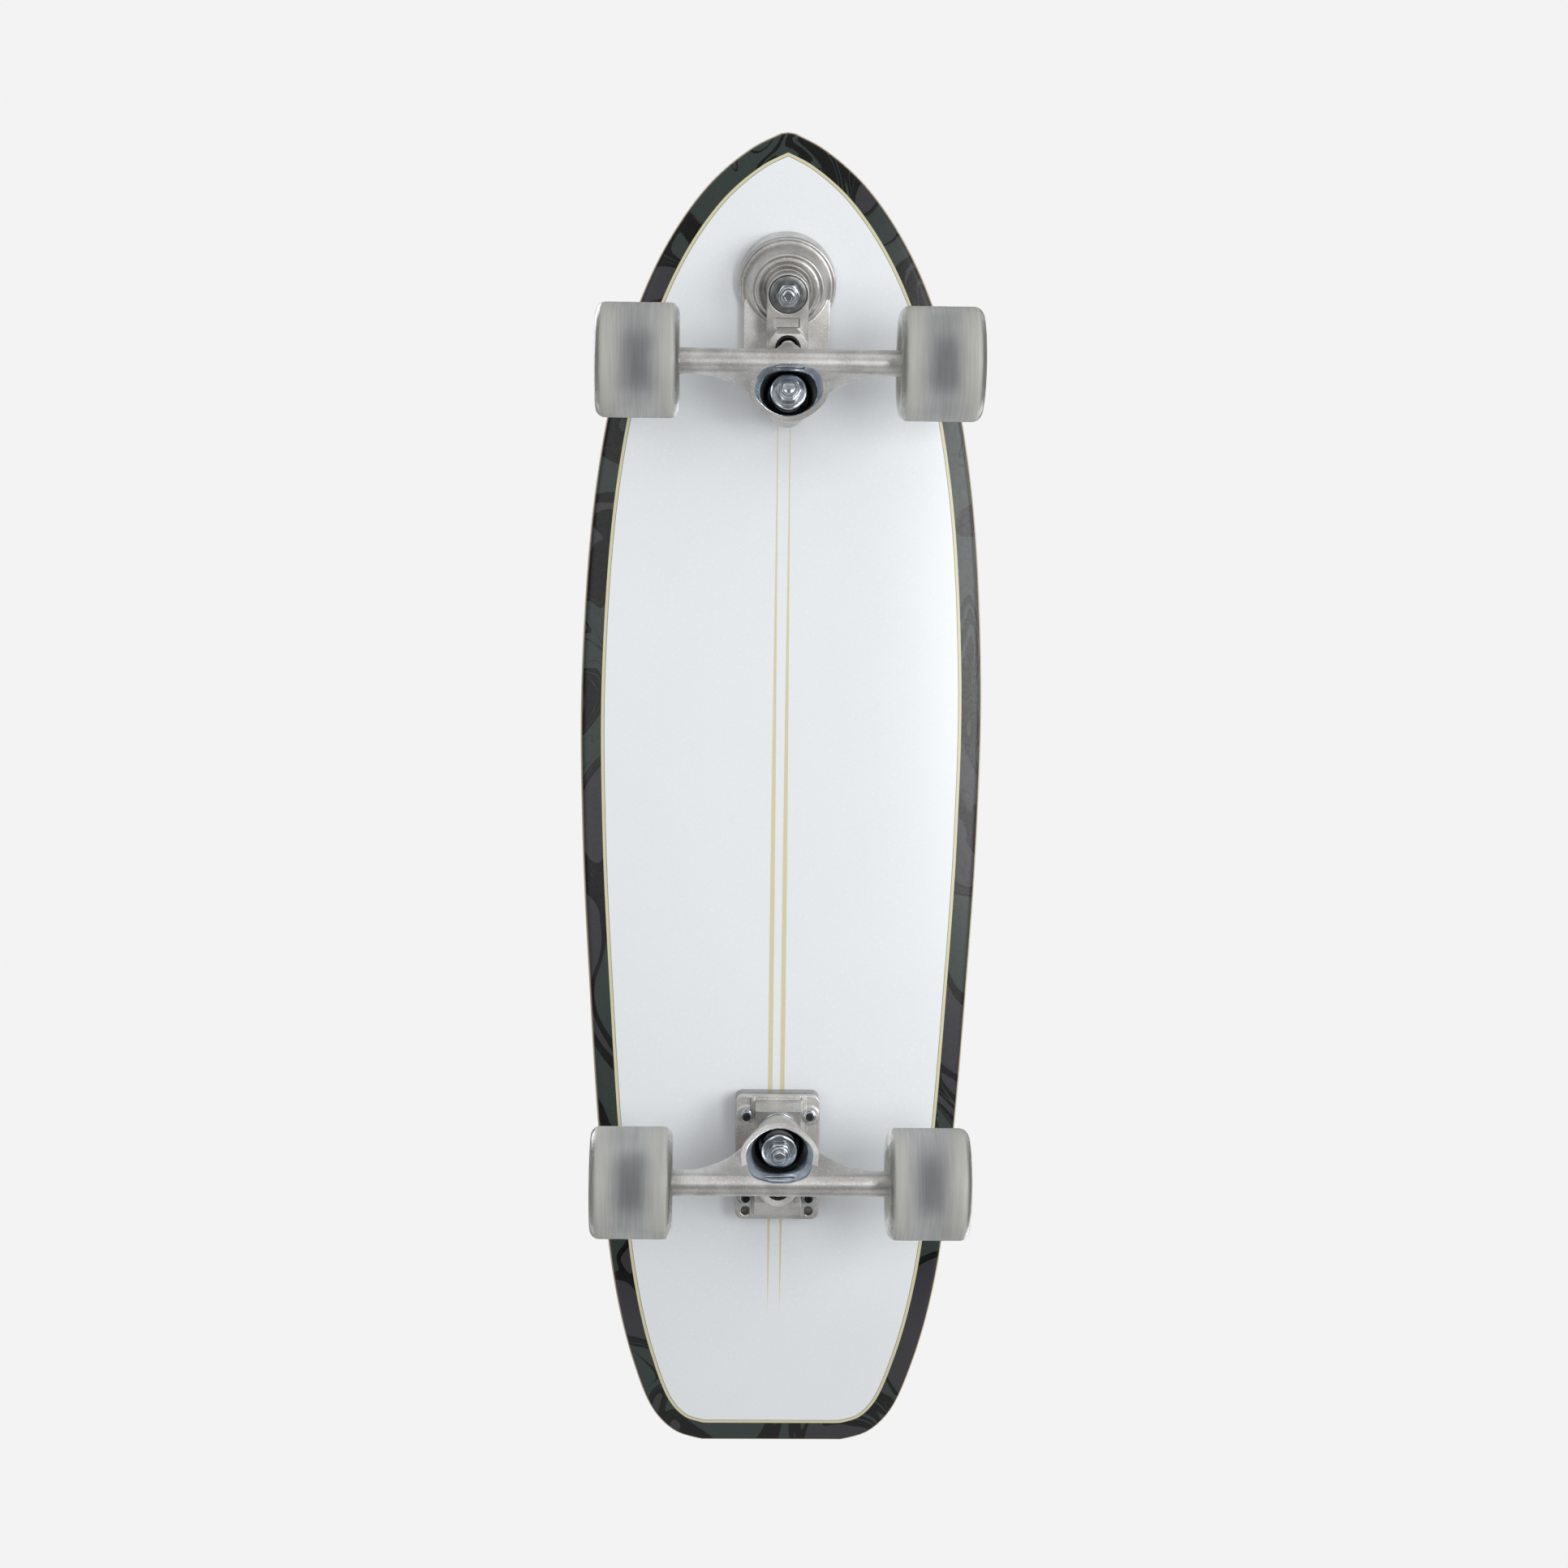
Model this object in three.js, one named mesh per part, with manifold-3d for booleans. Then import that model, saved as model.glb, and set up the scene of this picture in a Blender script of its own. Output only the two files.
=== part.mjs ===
// Surf skateboard: a maple deck on a sprung swing-arm truck in front and a fixed truck behind.
// Millimetres, +Z up, wheels standing on z = 0, the nose towards -Y and the tail towards +Y.
import * as THREE from 'three';
import { mergeVertices } from 'three/addons/utils/BufferGeometryUtils.js';
import Module from 'manifold-3d';

const wasm = await Module();
wasm.setup();

// Shared clearances
const seatGap = 0.3; // between pieces that touch
const cutOverrun = 20; // how far a cutting tool reaches past what it cuts

// Deck and grip
const deckLength = 874;
const deckWidth = 262;
const deckThickness = 11;
const concaveDepth = 5; // rise of the rails over the flat middle
const concaveFlat = 92; // width of the flat middle
const noseRise = 3;
const tailRise = 42;
const kickMargin = 15; // from the outer bolts to where a kick starts
const kickBendShare = 0.5; // share of a kick that bends, the rest runs straight
const gripThickness = 1.2;
const gripInset = 15.5;
const blankMargin = 2; // of the pressed blank past the outline
const outlineSteps = 42;
const noseKickSteps = 4;
const tailKickSteps = 10;
const gripNoseShare = 0.1; // how blunt the grip's point is
// Across the board from the flat middle's edge out to the blank's edge
const acrossShares = [0, 0.45, 0.72, 1];
// Along the board from the nose, and half width, as shares of the length and of the half width
const outlineShares = [
  [0, 0.025], [0.012, 0.18], [0.04, 0.395], [0.09, 0.62], [0.16, 0.803], [0.26, 0.935], [0.4, 1],
  [0.52, 0.992], [0.64, 0.95], [0.76, 0.893], [0.86, 0.822], [0.93, 0.724], [0.975, 0.613],
  [0.993, 0.5], [1, 0.37],
];

// Bolt patterns, the standard one and the older longer one of the spare holes. The heads sit
// on the wood, in holes punched through the grip.
const boltSpacingX = 41.3;
const boltSpacingY = 54;
const oldBoltSpacingY = 63.5;
const boltRadius = 2.4;
const boltHoleRadius = 2.9;
const boltHeadRadius = 4.5;
const boltHeadHeight = 2.7;
const boltSocketRadius = 1.6;
const boltSocketDepth = 1.3;
const boltThreadDepth = 7; // of a front bolt in the housing
const boltOverhang = 2.5; // of a rear bolt past its nut
const lockNutRadius = 4.6;
const lockNutHeight = 5.2;

// Where the trucks stand
const frontAxleY = -284.5;
const rearAxleY = 232.5;
const frontPatternOffset = 30; // pattern centre, outboard of the front axle
const rearPatternOffset = -5.5; // pattern centre, inboard of the rear axle
const axleDrop = 90; // deck top to axle

// Wheels
const wheelRadius = 35.5;
const wheelWidth = 52;
const wheelInnerX = 68; // board centre line to a wheel's inner face
const lipRound = 4.8;
const faceLean = 1.2;
const lipFaceRadius = 29.5;
const tyreFaceSlope = 4.7; // from the lip in to the core
const coreRadius = 20;
const coreLip = 2.2;
const coreHubWall = 2.4;
const coreBoreRadius = 9;
const bearingRadius = 10.9;
const bearingSeatRadius = 11.15;
const bearingWidth = 7;
const bearingSpacing = 10;
const bearingBoreRadius = 4.15;
const bearingRingWidth = 2.1;
const bearingShieldDepth = 0.6;
const wheelSides = 32;
const hubSides = 16;

// Axles
const axleRadius = 3.97;
const axleBoreRadius = 4.25;
const axleEndInset = 4.5; // axle end inside the wheel's outer face
const axleChamfer = 0.8;
const axleNutRadius = 7.4;
const axleNutHeight = 6.4;
const shoulderRadius = 6.2;
const tubeRadius = 8.2;
const tubeEndReach = 8; // tube end inside the wheel's inner face, within the hollow of its core

// Kingpin stack, measured from the seat towards the road
const kingpinLean = 12; // degrees, road end towards the axle
const kingpinInboard = 24.7; // seat centre, inboard of the axle
const kingpinSeatRise = 48; // seat centre over the axle
const kingpinRadius = 4.76;
const kingpinHeadRadius = 8.2;
const kingpinHeadHeight = 5.8;
const kingpinHeadDepth = 8;
const kingpinPocketRadius = 9.3;
const stackBoreRadius = 5.15;
const kingpinEnd = 3; // past the nut
const flatWasherRadius = 12.3;
const flatWasherThickness = 1.8;
const boardBushingRadius = 11.6;
const boardBushingBulge = 0.4;
const boardBushingHeight = 13.5;
const ringThickness = 6;
const ringBoreRadius = 8.6;
const roadBushingRadius = 10.3;
const roadBushingTip = 9.4;
const roadBushingHeight = 11;
const cupWasherRadius = 11.7;
const cupWasherThickness = 1.9;
const cupWasherLip = 1.6;
const cupWasherWall = 1;
const kingpinNutRadius = 8.2;
const kingpinNutHeight = 5.6;
const nutCollarShare = 0.76; // nylon collar radius over the nut's corner radius
const nutCollarHeight = 1.5;

// Hanger
const ringOuterRadius = 16.3;
const bowlFloorRadius = 13.5;
const rimInboardY = 35.5;
const rimInboardRise = 15; // rim over the axle at its inboard end
const rimOutboardY = 3;
const rimOutboardDrop = 7.5; // rim below the axle at its outboard end
const rimCentreInboard = 18;
const rimWall = 3.6;
const rimReach = 17.6; // the rim's inboard radius, which the shares below multiply
// Angle from inboard round to outboard, then inner radii at rim, belly and throat as shares
const rimShares = [
  [0, 0.82, 0.79, 0.8], [30, 0.86, 0.84, 0.84], [60, 0.99, 0.95, 0.95], [90, 1.21, 1.07, 1.1],
  [120, 1.31, 1.12, 1.12], [150, 1.04, 1.1, 0.85], [180, 0.92, 1, 0.72],
];
const bellyShare = 0.4; // where the belly lies between the bowl's floor and its rim
const throatShare = 0.8; // where the throat lies, which just bares the axle
const crownSides = 24;
const wingSides = 16;
const wingEndX = 62;
// Out along the wing, then reach inboard, rise and radius of its edge
const wingShares = [
  [0, 1, 1, 1], [0.13, 0.93, 0.96, 0.98], [0.27, 0.77, 0.86, 0.94], [0.345, 0.565, 0.7, 0.86],
  [0.445, 0.41, 0.54, 0.8], [0.55, 0.29, 0.38, 0.76], [0.74, 0.15, 0.16, 0.8], [1, 0, 0, 1.206],
];
const wingReach = 29.3;
const wingRise = 22.3;
const wingEdgeRadius = 6.8;
const neckHalfWidth = 17;
const neckHalfDepth = 10;
// Up the neck, then its centre outboard, half width and half depth
const neckShares = [
  [0, 0, 1, 0.75], [0.28, 0.04, 0.82, 0.95], [0.5, 0.26, 0.62, 0.98], [0.68, 0.56, 0.42, 0.72],
  [0.79, 0.78, 0.31, 0.53],
];

// Pivot: the hanger's nose in a rubber cup
const pivotOutboard = 12;
const pivotRise = 42.5; // over the axle
const pivotLean = 8; // degrees, nose end outboard
const noseRadius = 5.2;
const noseNeckRadius = 4.6;
const stemRootRadius = 5.2;
const stemLength = 13;
const cupOuterRadius = 7.4;
const cupMouthRadius = 6.5;
const cupBallRadius = 5.5;
const cupMouth = 6;
const cupBottom = 7.4;
const cupBoreRadius = 7.8;
const cupBossRadius = 12.4;
const cupBossDepth = 13;

// Swing arm and its tilted axis; places along the axis run from the washer's road face
const swingLean = 17; // degrees, road end inboard
const swingOutboard = 45.3; // washer centre, outboard of the axle
const swingRise = 45; // washer centre over the axle
const armHalfWidth = 13.4;
const armThickness = 10;
const armDeckGap = 11.9; // arm's deck side to the deck
const armEndInboard = 37; // tip of the arm's round end, inboard of the axle
const armEndRise = 61;
const armBend = 30; // washer centre to where the arm bends
const armRecessStart = 15.3;
const armRecessLength = 6;
const armRecessHalfWidth = 8.4;
const armRecessDepth = 1.6;
const hubRadius = 9;
const hubLength = 14.5;
const hubBoreRadius = 5.35;
const swingBoltRadius = 4.9;
const swingBoltHeadRadius = 8.4;
const swingBoltHeadHeight = 5.5;
const swingBoltEnd = 2.2; // past the nut
const swingSocketRadius = 2.6;
const swingSocketDepth = 4;
const swingWasherRadius = 11.7;
const swingWasherThickness = 2.5;
const swingWasherWell = 12.3;
const swingNutRadius = 7.8;
const swingNutHeight = 5;

// Housing: a flat base under a dome turned about the swing axis
const baseThickness = 9.3;
const baseHalfWidth = 27.8;
const baseInboard = 6.5;
const baseCornerRadius = 4;
const domeBoreRadius = 9.4;
const collarRadius = 12.9; // raised face that the arm turns on
const collarHeight = 2.3;
const domeTopRadius = 13.6;
const grooveRadius = 16.6;
const grooveDepth = 4.2;
const crestInnerRadius = 19.6;
const crestOuterRadius = 23.2;
const crestLift = 0.3;
const coveRadius = 26.8;
const coveDepth = 9.5;
const lipRadius = 30.4;
const lipDepth = 13.5;
const skirtRadius = 31.7;
const skirtDepth = 15;
const cavityRadius = 14.5;
const cavityFloor = 9; // below the dome's top
const domeSides = 32;

// Centring spring, wound round the hub inside the housing
const springWire = 1.2;
const springRadius = 12;
const springPitch = 2.9;
const springTurns = 3;
const springTurnSteps = 12;
const springSides = 6;

// Rear baseplate on its see-through riser pad
const plateHalfWidth = 27.4;
const plateInboard = 45.5;
const plateOutboard = 36.5;
const plateThickness = 6.5;
const riserThickness = 14.2;
const plateCornerRadius = 4;
const blockHalfWidth = 15;
const blockInboard = 42.5;
const blockRampTop = 37.4;
const blockOutboard = 34.5;
const blockShoulder = 22.5;
const blockShoulderRise = 43;
const ribHalfThickness = 1.2;
const ribRise = 58;
const ribReach = 41;

const roundSides = 18;
const boltSides = 10;
const hexSides = 6;
const cornerSteps = 4;

const degree = Math.PI / 180;
const axleZ = wheelRadius;
const deckTopZ = axleZ + axleDrop;
const deckBottomZ = deckTopZ - deckThickness;
const hardwareTopZ = deckBottomZ - seatGap;
const gripHoleRadius = boltHeadRadius + 2 * seatGap;
const plateTopZ = hardwareTopZ - riserThickness - seatGap;
const plateRoadZ = plateTopZ - plateThickness;
const halfLength = deckLength / 2;
const halfWidth = deckWidth / 2;

const model = new THREE.Group();

const aluminium = { color: 0xa09e98, roughness: 0.45, metalness: 0.9 };
const steel = { color: 0xb6bcc4, roughness: 0.3, metalness: 1 };
const blackSteel = { color: 0x1b1b1d, roughness: 0.4, metalness: 0.8 };
const clearUrethane = { color: 0xd8d8cf, roughness: 0.35, metalness: 0 };
const smokeUrethane = { color: 0xb0b0a8, roughness: 0.4, metalness: 0 };
const darkPlastic = { color: 0x263042, roughness: 0.5, metalness: 0 };
const rubber = { color: 0x161616, roughness: 0.8, metalness: 0 };
const springSteel = { color: 0x8d9096, roughness: 0.35, metalness: 1 };
const maple = { color: 0xe0d3ae, roughness: 0.5, metalness: 0 };
const gritPaper = { color: 0x2f3033, roughness: 0.95, metalness: 0 };

// Makes a manifold from a closed geometry, with merged vertices and faces pointing out
function solid(geometry, matrix = new THREE.Matrix4()) {
  const bare = geometry.clone();
  bare.deleteAttribute('normal');
  bare.deleteAttribute('uv');
  bare.applyMatrix4(matrix);
  const merged = mergeVertices(bare);
  const places = merged.attributes.position;
  const corners = merged.index.array;
  const triangles = [];
  let volume = 0;
  const [a, b, c] = [new THREE.Vector3(), new THREE.Vector3(), new THREE.Vector3()];
  for (let i = 0; i < corners.length; i += 3) {
    const [p, q, r] = [corners[i], corners[i + 1], corners[i + 2]];
    if (p === q || q === r || r === p) continue;
    triangles.push([p, q, r]);
    a.fromBufferAttribute(places, p);
    b.fromBufferAttribute(places, q);
    c.fromBufferAttribute(places, r);
    volume += a.dot(b.cross(c));
  }
  const wound = volume < 0 ? triangles.map(([p, q, r]) => [p, r, q]) : triangles;
  const triVerts = Uint32Array.from(wound.flat());
  const vertProperties = Float32Array.from(places.array);
  return new wasm.Manifold(new wasm.Mesh({ numProp: 3, vertProperties, triVerts }));
}

const joined = (...parts) => parts.reduce((whole, part) => whole.add(part));
const cut = (whole, ...tools) => tools.reduce((rest, tool) => rest.subtract(tool), whole);

// Adds one named mesh for a manifold to a group
function add(group, name, shape, finish) {
  const mesh = shape.getMesh();
  const geometry = new THREE.BufferGeometry();
  geometry.setAttribute('position', new THREE.BufferAttribute(mesh.vertProperties, 3));
  geometry.setIndex(new THREE.BufferAttribute(mesh.triVerts, 1));
  geometry.computeVertexNormals();
  const material = new THREE.MeshStandardMaterial({ ...finish, flatShading: true });
  const piece = new THREE.Mesh(geometry, material);
  piece.name = name;
  group.add(piece);
}

// Closed profile of [radius, height] turned about Z
function turned(profile, sides = roundSides, phase = 0) {
  const points = [...profile, profile[0]].map(([r, h]) => new THREE.Vector2(r, h));
  const geometry = new THREE.LatheGeometry(points, sides);
  geometry.rotateX(Math.PI / 2);
  geometry.rotateZ(phase);
  return geometry;
}

const disc = (radius, low, high, sides = roundSides) =>
  turned([[0, low], [radius, low], [radius, high], [0, high]], sides);

const ring = (inner, outer, low, high, sides = roundSides) =>
  turned([[inner, low], [outer, low], [outer, high], [inner, high]], sides);

// Flat outline of [x, y] drawn up along Z from low to high
function drawn(outline, low, high) {
  const shape = new THREE.Shape(outline.map(([x, y]) => new THREE.Vector2(x, y)));
  const geometry = new THREE.ExtrudeGeometry(shape, { depth: high - low, bevelEnabled: false });
  geometry.translate(0, 0, low);
  return geometry;
}

// Side outline of [y, z] drawn across the board to half a width each way
function sideways(outline, half) {
  const geometry = drawn(outline, -half, half);
  const cycle = new THREE.Matrix4().makeBasis(
    new THREE.Vector3(0, 1, 0),
    new THREE.Vector3(0, 0, 1),
    new THREE.Vector3(1, 0, 0),
  );
  return geometry.applyMatrix4(cycle);
}

// Closed skin through rings of equally many points, with a flat fan over each end
function lofted(rings) {
  const count = rings[0].length;
  const places = rings.flat().flatMap((p) => [p.x, p.y, p.z]);
  const index = [];
  for (let level = 0; level + 1 < rings.length; level += 1) {
    for (let i = 0; i < count; i += 1) {
      const [a, b] = [level * count + i, level * count + ((i + 1) % count)];
      index.push(a, b, b + count, a, b + count, a + count);
    }
  }
  const last = (rings.length - 1) * count;
  for (let i = 1; i + 1 < count; i += 1) {
    index.push(0, i + 1, i, last, last + i, last + i + 1);
  }
  const geometry = new THREE.BufferGeometry();
  geometry.setAttribute('position', new THREE.Float32BufferAttribute(places, 3));
  geometry.setIndex(index);
  return geometry;
}

// Rectangle of [x, y] with round corners
function roundedRectangle(left, right, front, back, radius) {
  const centres = [
    [right - radius, back - radius, 0], [left + radius, back - radius, 90],
    [left + radius, front + radius, 180], [right - radius, front + radius, 270],
  ];
  return centres.flatMap(([x, y, start]) =>
    Array.from({ length: cornerSteps + 1 }, (_, i) => {
      const angle = (start + (90 * i) / cornerSteps) * degree;
      return [x + radius * Math.cos(angle), y + radius * Math.sin(angle)];
    }));
}

// Frame at a point of the board's middle plane, its Z along a line that leans from straight down
function leaningFrame(y, z, leanDegrees) {
  const along = new THREE.Vector3(0, Math.sin(leanDegrees * degree), -Math.cos(leanDegrees * degree));
  const across = new THREE.Vector3(1, 0, 0);
  const frame = new THREE.Matrix4().makeBasis(across, along.clone().cross(across), along);
  return frame.setPosition(0, y, z);
}

function groupAt(parent, matrix) {
  const group = new THREE.Group();
  group.applyMatrix4(matrix);
  parent.add(group);
  return group;
}

// A hexagon nut with a round locking collar
function nut(cornerRadius, height, bore, from) {
  const body = solid(disc(cornerRadius, from, from + height, hexSides));
  const collarTop = from + height + nutCollarHeight;
  const collar = solid(disc(cornerRadius * nutCollarShare, from + height / 2, collarTop));
  const hole = solid(disc(bore, from - cutOverrun, collarTop + cutOverrun));
  return cut(joined(body, collar), hole);
}

// Deck

const noseKickY = frontAxleY - frontPatternOffset - boltSpacingY / 2 - kickMargin;
const tailKickY = rearAxleY + rearPatternOffset + boltSpacingY / 2 + kickMargin;

// Rise of the deck over its flat middle, at a place along and across the board
function deckLift(x, y) {
  const kick = (share) => {
    const bend = kickBendShare;
    if (share <= 0) return 0;
    return share < bend ? share ** 2 / (bend * (2 - bend)) : (2 * share - bend) / (2 - bend);
  };
  const nose = noseRise * kick((noseKickY - y) / (halfLength + noseKickY));
  const tail = tailRise * kick((y - tailKickY) / (halfLength - tailKickY));
  const flat = concaveFlat / 2;
  const side = Math.max(0, (Math.abs(x) - flat) / (halfWidth - flat));
  return nose + tail + concaveDepth * side ** 2;
}

// Outline of the board, drawn in by an inset, as [x, y] all the way round
function boardOutline(inset) {
  const points = outlineShares.map(([along, wide]) =>
    new THREE.Vector3(wide * halfWidth, (along - 1 / 2) * deckLength, 0));
  const curve = new THREE.CatmullRomCurve3(points, false, 'centripetal');
  const right = [];
  for (let i = 0; i <= outlineSteps; i += 1) {
    const place = curve.getPoint(i / outlineSteps);
    const tangent = curve.getTangent(i / outlineSteps);
    const x = place.x - inset * tangent.y;
    const y = place.y + inset * tangent.x;
    if (x > inset * gripNoseShare) right.push([x, y]);
  }
  return [...right, ...right.map(([x, y]) => [-x, y]).reverse()];
}

// Plate that follows the deck's surface between two heights over it, wider than the board
function pressedPlate(low, high) {
  const flat = concaveFlat / 2;
  const side = acrossShares.map((share) => flat + share * (halfWidth + blankMargin - flat));
  const xs = [...side.map((x) => -x).reverse(), ...side];
  const kickSteps = (start, end, steps) =>
    Array.from({ length: steps + 1 }, (_, i) => start + ((end - start) * i) / steps);
  const ys = [
    ...kickSteps(-halfLength - blankMargin, noseKickY, noseKickSteps),
    ...kickSteps(tailKickY, halfLength + blankMargin, tailKickSteps),
  ];
  const rings = ys.map((y) => {
    const line = (height) =>
      xs.map((x) => new THREE.Vector3(x, y, deckTopZ + deckLift(x, y) + height));
    return [...line(high), ...line(low).reverse()];
  });
  return lofted(rings);
}

const boltRows = [
  ['front', frontAxleY - frontPatternOffset],
  ['rear', rearAxleY + rearPatternOffset],
];
const boltPlaces = boltRows.flatMap(([end, centre]) =>
  [['nose', -1], ['tail', 1]].flatMap(([row, alongSign]) =>
    [['left', 1], ['right', -1]].map(([side, acrossSign]) => ({
      end,
      name: `${end}_${row}_${side}`,
      x: (acrossSign * boltSpacingX) / 2,
      y: centre + (alongSign * boltSpacingY) / 2,
    }))));

function boltHoles(radius, low, high) {
  const places = boltPlaces.map(({ x, y }) => new THREE.Matrix4().setPosition(x, y, 0));
  return places.map((place) => solid(disc(radius, low, high, boltSides), place));
}

const deckTall = deckThickness + tailRise + concaveDepth + cutOverrun;

function makeBoard() {
  const blank = solid(pressedPlate(-deckThickness, 0));
  const edge = solid(drawn(boardOutline(0), deckBottomZ - cutOverrun, deckBottomZ + deckTall));
  const holes = boltHoles(boltHoleRadius, deckBottomZ - cutOverrun, deckTopZ + cutOverrun);
  add(model, 'deck', cut(blank.intersect(edge), ...holes), maple);

  const sheet = solid(pressedPlate(seatGap, seatGap + gripThickness));
  const shape = solid(drawn(boardOutline(gripInset), deckBottomZ, deckBottomZ + deckTall));
  const punched = boltHoles(gripHoleRadius, deckTopZ - cutOverrun, deckTopZ + cutOverrun);
  add(model, 'grip_tape', cut(sheet.intersect(shape), ...punched), gritPaper);
}

// Deck bolts and the rear lock nuts; a bolt's own Z starts at the underside of its head
function makeBolts() {
  const headZ = deckTopZ + seatGap;
  const nutReach = seatGap + lockNutHeight + nutCollarHeight + boltOverhang;
  const rearLength = headZ - plateRoadZ + nutReach;
  const frontLength = headZ - hardwareTopZ + boltThreadDepth - seatGap;
  for (const { end, name, x, y } of boltPlaces) {
    const length = end === 'front' ? frontLength : rearLength;
    const brow = boltHeadHeight / 2;
    const profile = [
      [0, -length], [boltRadius, -length], [boltRadius, 0], [boltHeadRadius, 0],
      [boltHeadRadius, brow / 2], [(boltHeadRadius + boltSocketRadius) / 2, boltHeadHeight],
      [boltSocketRadius, boltHeadHeight], [boltSocketRadius, boltHeadHeight - boltSocketDepth],
      [0, boltHeadHeight - boltSocketDepth],
    ];
    const place = groupAt(model, new THREE.Matrix4().setPosition(x, y, headZ));
    add(place, `bolt_${name}`, solid(turned(profile, boltSides)), blackSteel);
    if (end === 'rear') {
      const under = new THREE.Matrix4().makeRotationX(Math.PI);
      const below = groupAt(model, under.setPosition(x, y, plateRoadZ));
      const shape = nut(lockNutRadius, lockNutHeight, boltHoleRadius, seatGap);
      add(below, `lock_nut_${name}`, shape, steel);
    }
  }
}

// Wheels: the wheel's own Z runs outwards from its inner face, along the axle

const coreStart = tyreFaceSlope;
const coreEnd = wheelWidth - tyreFaceSlope;
const innerBearingStart = (wheelWidth - bearingSpacing) / 2 - bearingWidth;
const outerBearingStart = (wheelWidth + bearingSpacing) / 2;

function tyreSolid() {
  const halfStep = Math.PI / wheelSides;
  const tread = wheelRadius / Math.cos(halfStep);
  const shoulder = tread - lipRound / 2;
  const inner = coreRadius + seatGap;
  const profile = [
    [inner, coreStart], [(inner + lipFaceRadius) / 2, faceLean], [lipFaceRadius, 0],
    [shoulder, lipRound / 4], [tread, lipRound], [tread, wheelWidth - lipRound],
    [shoulder, wheelWidth - lipRound / 3], [lipFaceRadius, wheelWidth],
    [(inner + lipFaceRadius) / 2, wheelWidth - faceLean], [inner, coreEnd],
  ];
  return solid(turned(profile, wheelSides, halfStep));
}

function coreSolid() {
  const lip = coreRadius - coreLip;
  const hub = bearingSeatRadius + coreHubWall;
  const seatIn = innerBearingStart + bearingWidth;
  const profile = [
    [coreRadius, coreStart], [coreRadius, coreEnd], [lip, coreEnd],
    [hub, outerBearingStart + bearingWidth], [bearingSeatRadius, outerBearingStart + bearingWidth],
    [bearingSeatRadius, outerBearingStart], [coreBoreRadius, outerBearingStart],
    [coreBoreRadius, seatIn], [bearingSeatRadius, seatIn], [bearingSeatRadius, innerBearingStart],
    [hub, innerBearingStart], [lip, coreStart],
  ];
  return solid(turned(profile, hubSides));
}

// A bearing with its shield set back on the outer face
function bearingSolid() {
  const inner = bearingBoreRadius + bearingRingWidth;
  const outer = bearingRadius - bearingRingWidth;
  const profile = [
    [bearingBoreRadius, 0], [bearingRadius, 0], [bearingRadius, bearingWidth], [outer, bearingWidth],
    [outer, bearingWidth - bearingShieldDepth], [inner, bearingWidth - bearingShieldDepth],
    [inner, bearingWidth], [bearingBoreRadius, bearingWidth],
  ];
  return solid(turned(profile, hubSides));
}

function makeWheel(truckGroup, name, side) {
  const outward = new THREE.Vector3(side, 0, 0);
  const up = new THREE.Vector3(0, 0, 1);
  const frame = new THREE.Matrix4().makeBasis(up.clone().cross(outward), up, outward);
  frame.setPosition(side * wheelInnerX, 0, axleZ);
  const wheel = groupAt(truckGroup, frame);
  add(wheel, `${name}_tyre`, tyreSolid(), smokeUrethane);
  add(wheel, `${name}_wheel_core`, coreSolid(), darkPlastic);
  const bearings = [['inner', innerBearingStart], ['outer', outerBearingStart]];
  for (const [place, start] of bearings) {
    const seat = groupAt(wheel, new THREE.Matrix4().setPosition(0, 0, start));
    add(seat, `${name}_${place}_bearing`, bearingSolid(), steel);
  }
  const nutStart = outerBearingStart + bearingWidth + seatGap;
  add(wheel, `${name}_axle_nut`, nut(axleNutRadius, axleNutHeight, axleBoreRadius, nutStart), steel);
}

// Trucks. In a truck's own frame +Y runs outboard, to the near end of the board.

const kingpinFrame = leaningFrame(-kingpinInboard, axleZ + kingpinSeatRise, kingpinLean);
const pivotFrame = leaningFrame(pivotOutboard, axleZ + pivotRise, -pivotLean);
const boardBushingStart = 2 * seatGap + flatWasherThickness;
const ringStart = boardBushingStart + boardBushingHeight + seatGap;
const roadBushingStart = ringStart + ringThickness + seatGap;
const cupWasherStart = roadBushingStart + roadBushingHeight + seatGap;
const kingpinNutStart = cupWasherStart + cupWasherThickness + seatGap;
const kingpinTip = kingpinNutStart + kingpinNutHeight + nutCollarHeight + kingpinEnd;

// Circle round the kingpin at a distance from its seat, starting inboard
function kingpinCircle(radius, from) {
  return Array.from({ length: crownSides }, (_, i) => {
    const angle = (2 * Math.PI * i) / crownSides;
    const place = new THREE.Vector3(radius * Math.sin(angle), radius * Math.cos(angle), from);
    return place.applyMatrix4(kingpinFrame);
  });
}

// Height of the tilted rim plane of the hanger's bowl
function rimZ(y) {
  const share = (y + rimInboardY) / (rimInboardY + rimOutboardY);
  return axleZ + rimInboardRise - share * (rimInboardRise + rimOutboardDrop);
}

// Ring on the rim plane, its radii read from a column of rimShares and grown by a wall
function rimRing(column, wall) {
  return Array.from({ length: crownSides }, (_, i) => {
    const angle = (360 * i) / crownSides;
    const folded = Math.min(angle, 360 - angle);
    const after = Math.max(1, rimShares.findIndex((row) => row[0] >= folded));
    const [low, high] = [rimShares[after - 1], rimShares[after]];
    const blend = (folded - low[0]) / (high[0] - low[0]);
    const radius = rimReach * (low[column] + blend * (high[column] - low[column])) + wall;
    const y = -rimCentreInboard - radius * Math.cos(angle * degree);
    return new THREE.Vector3(radius * Math.sin(angle * degree), y, rimZ(y));
  });
}

const between = (from, to, share) => from.map((p, i) => p.clone().lerp(to[i], share));

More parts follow.
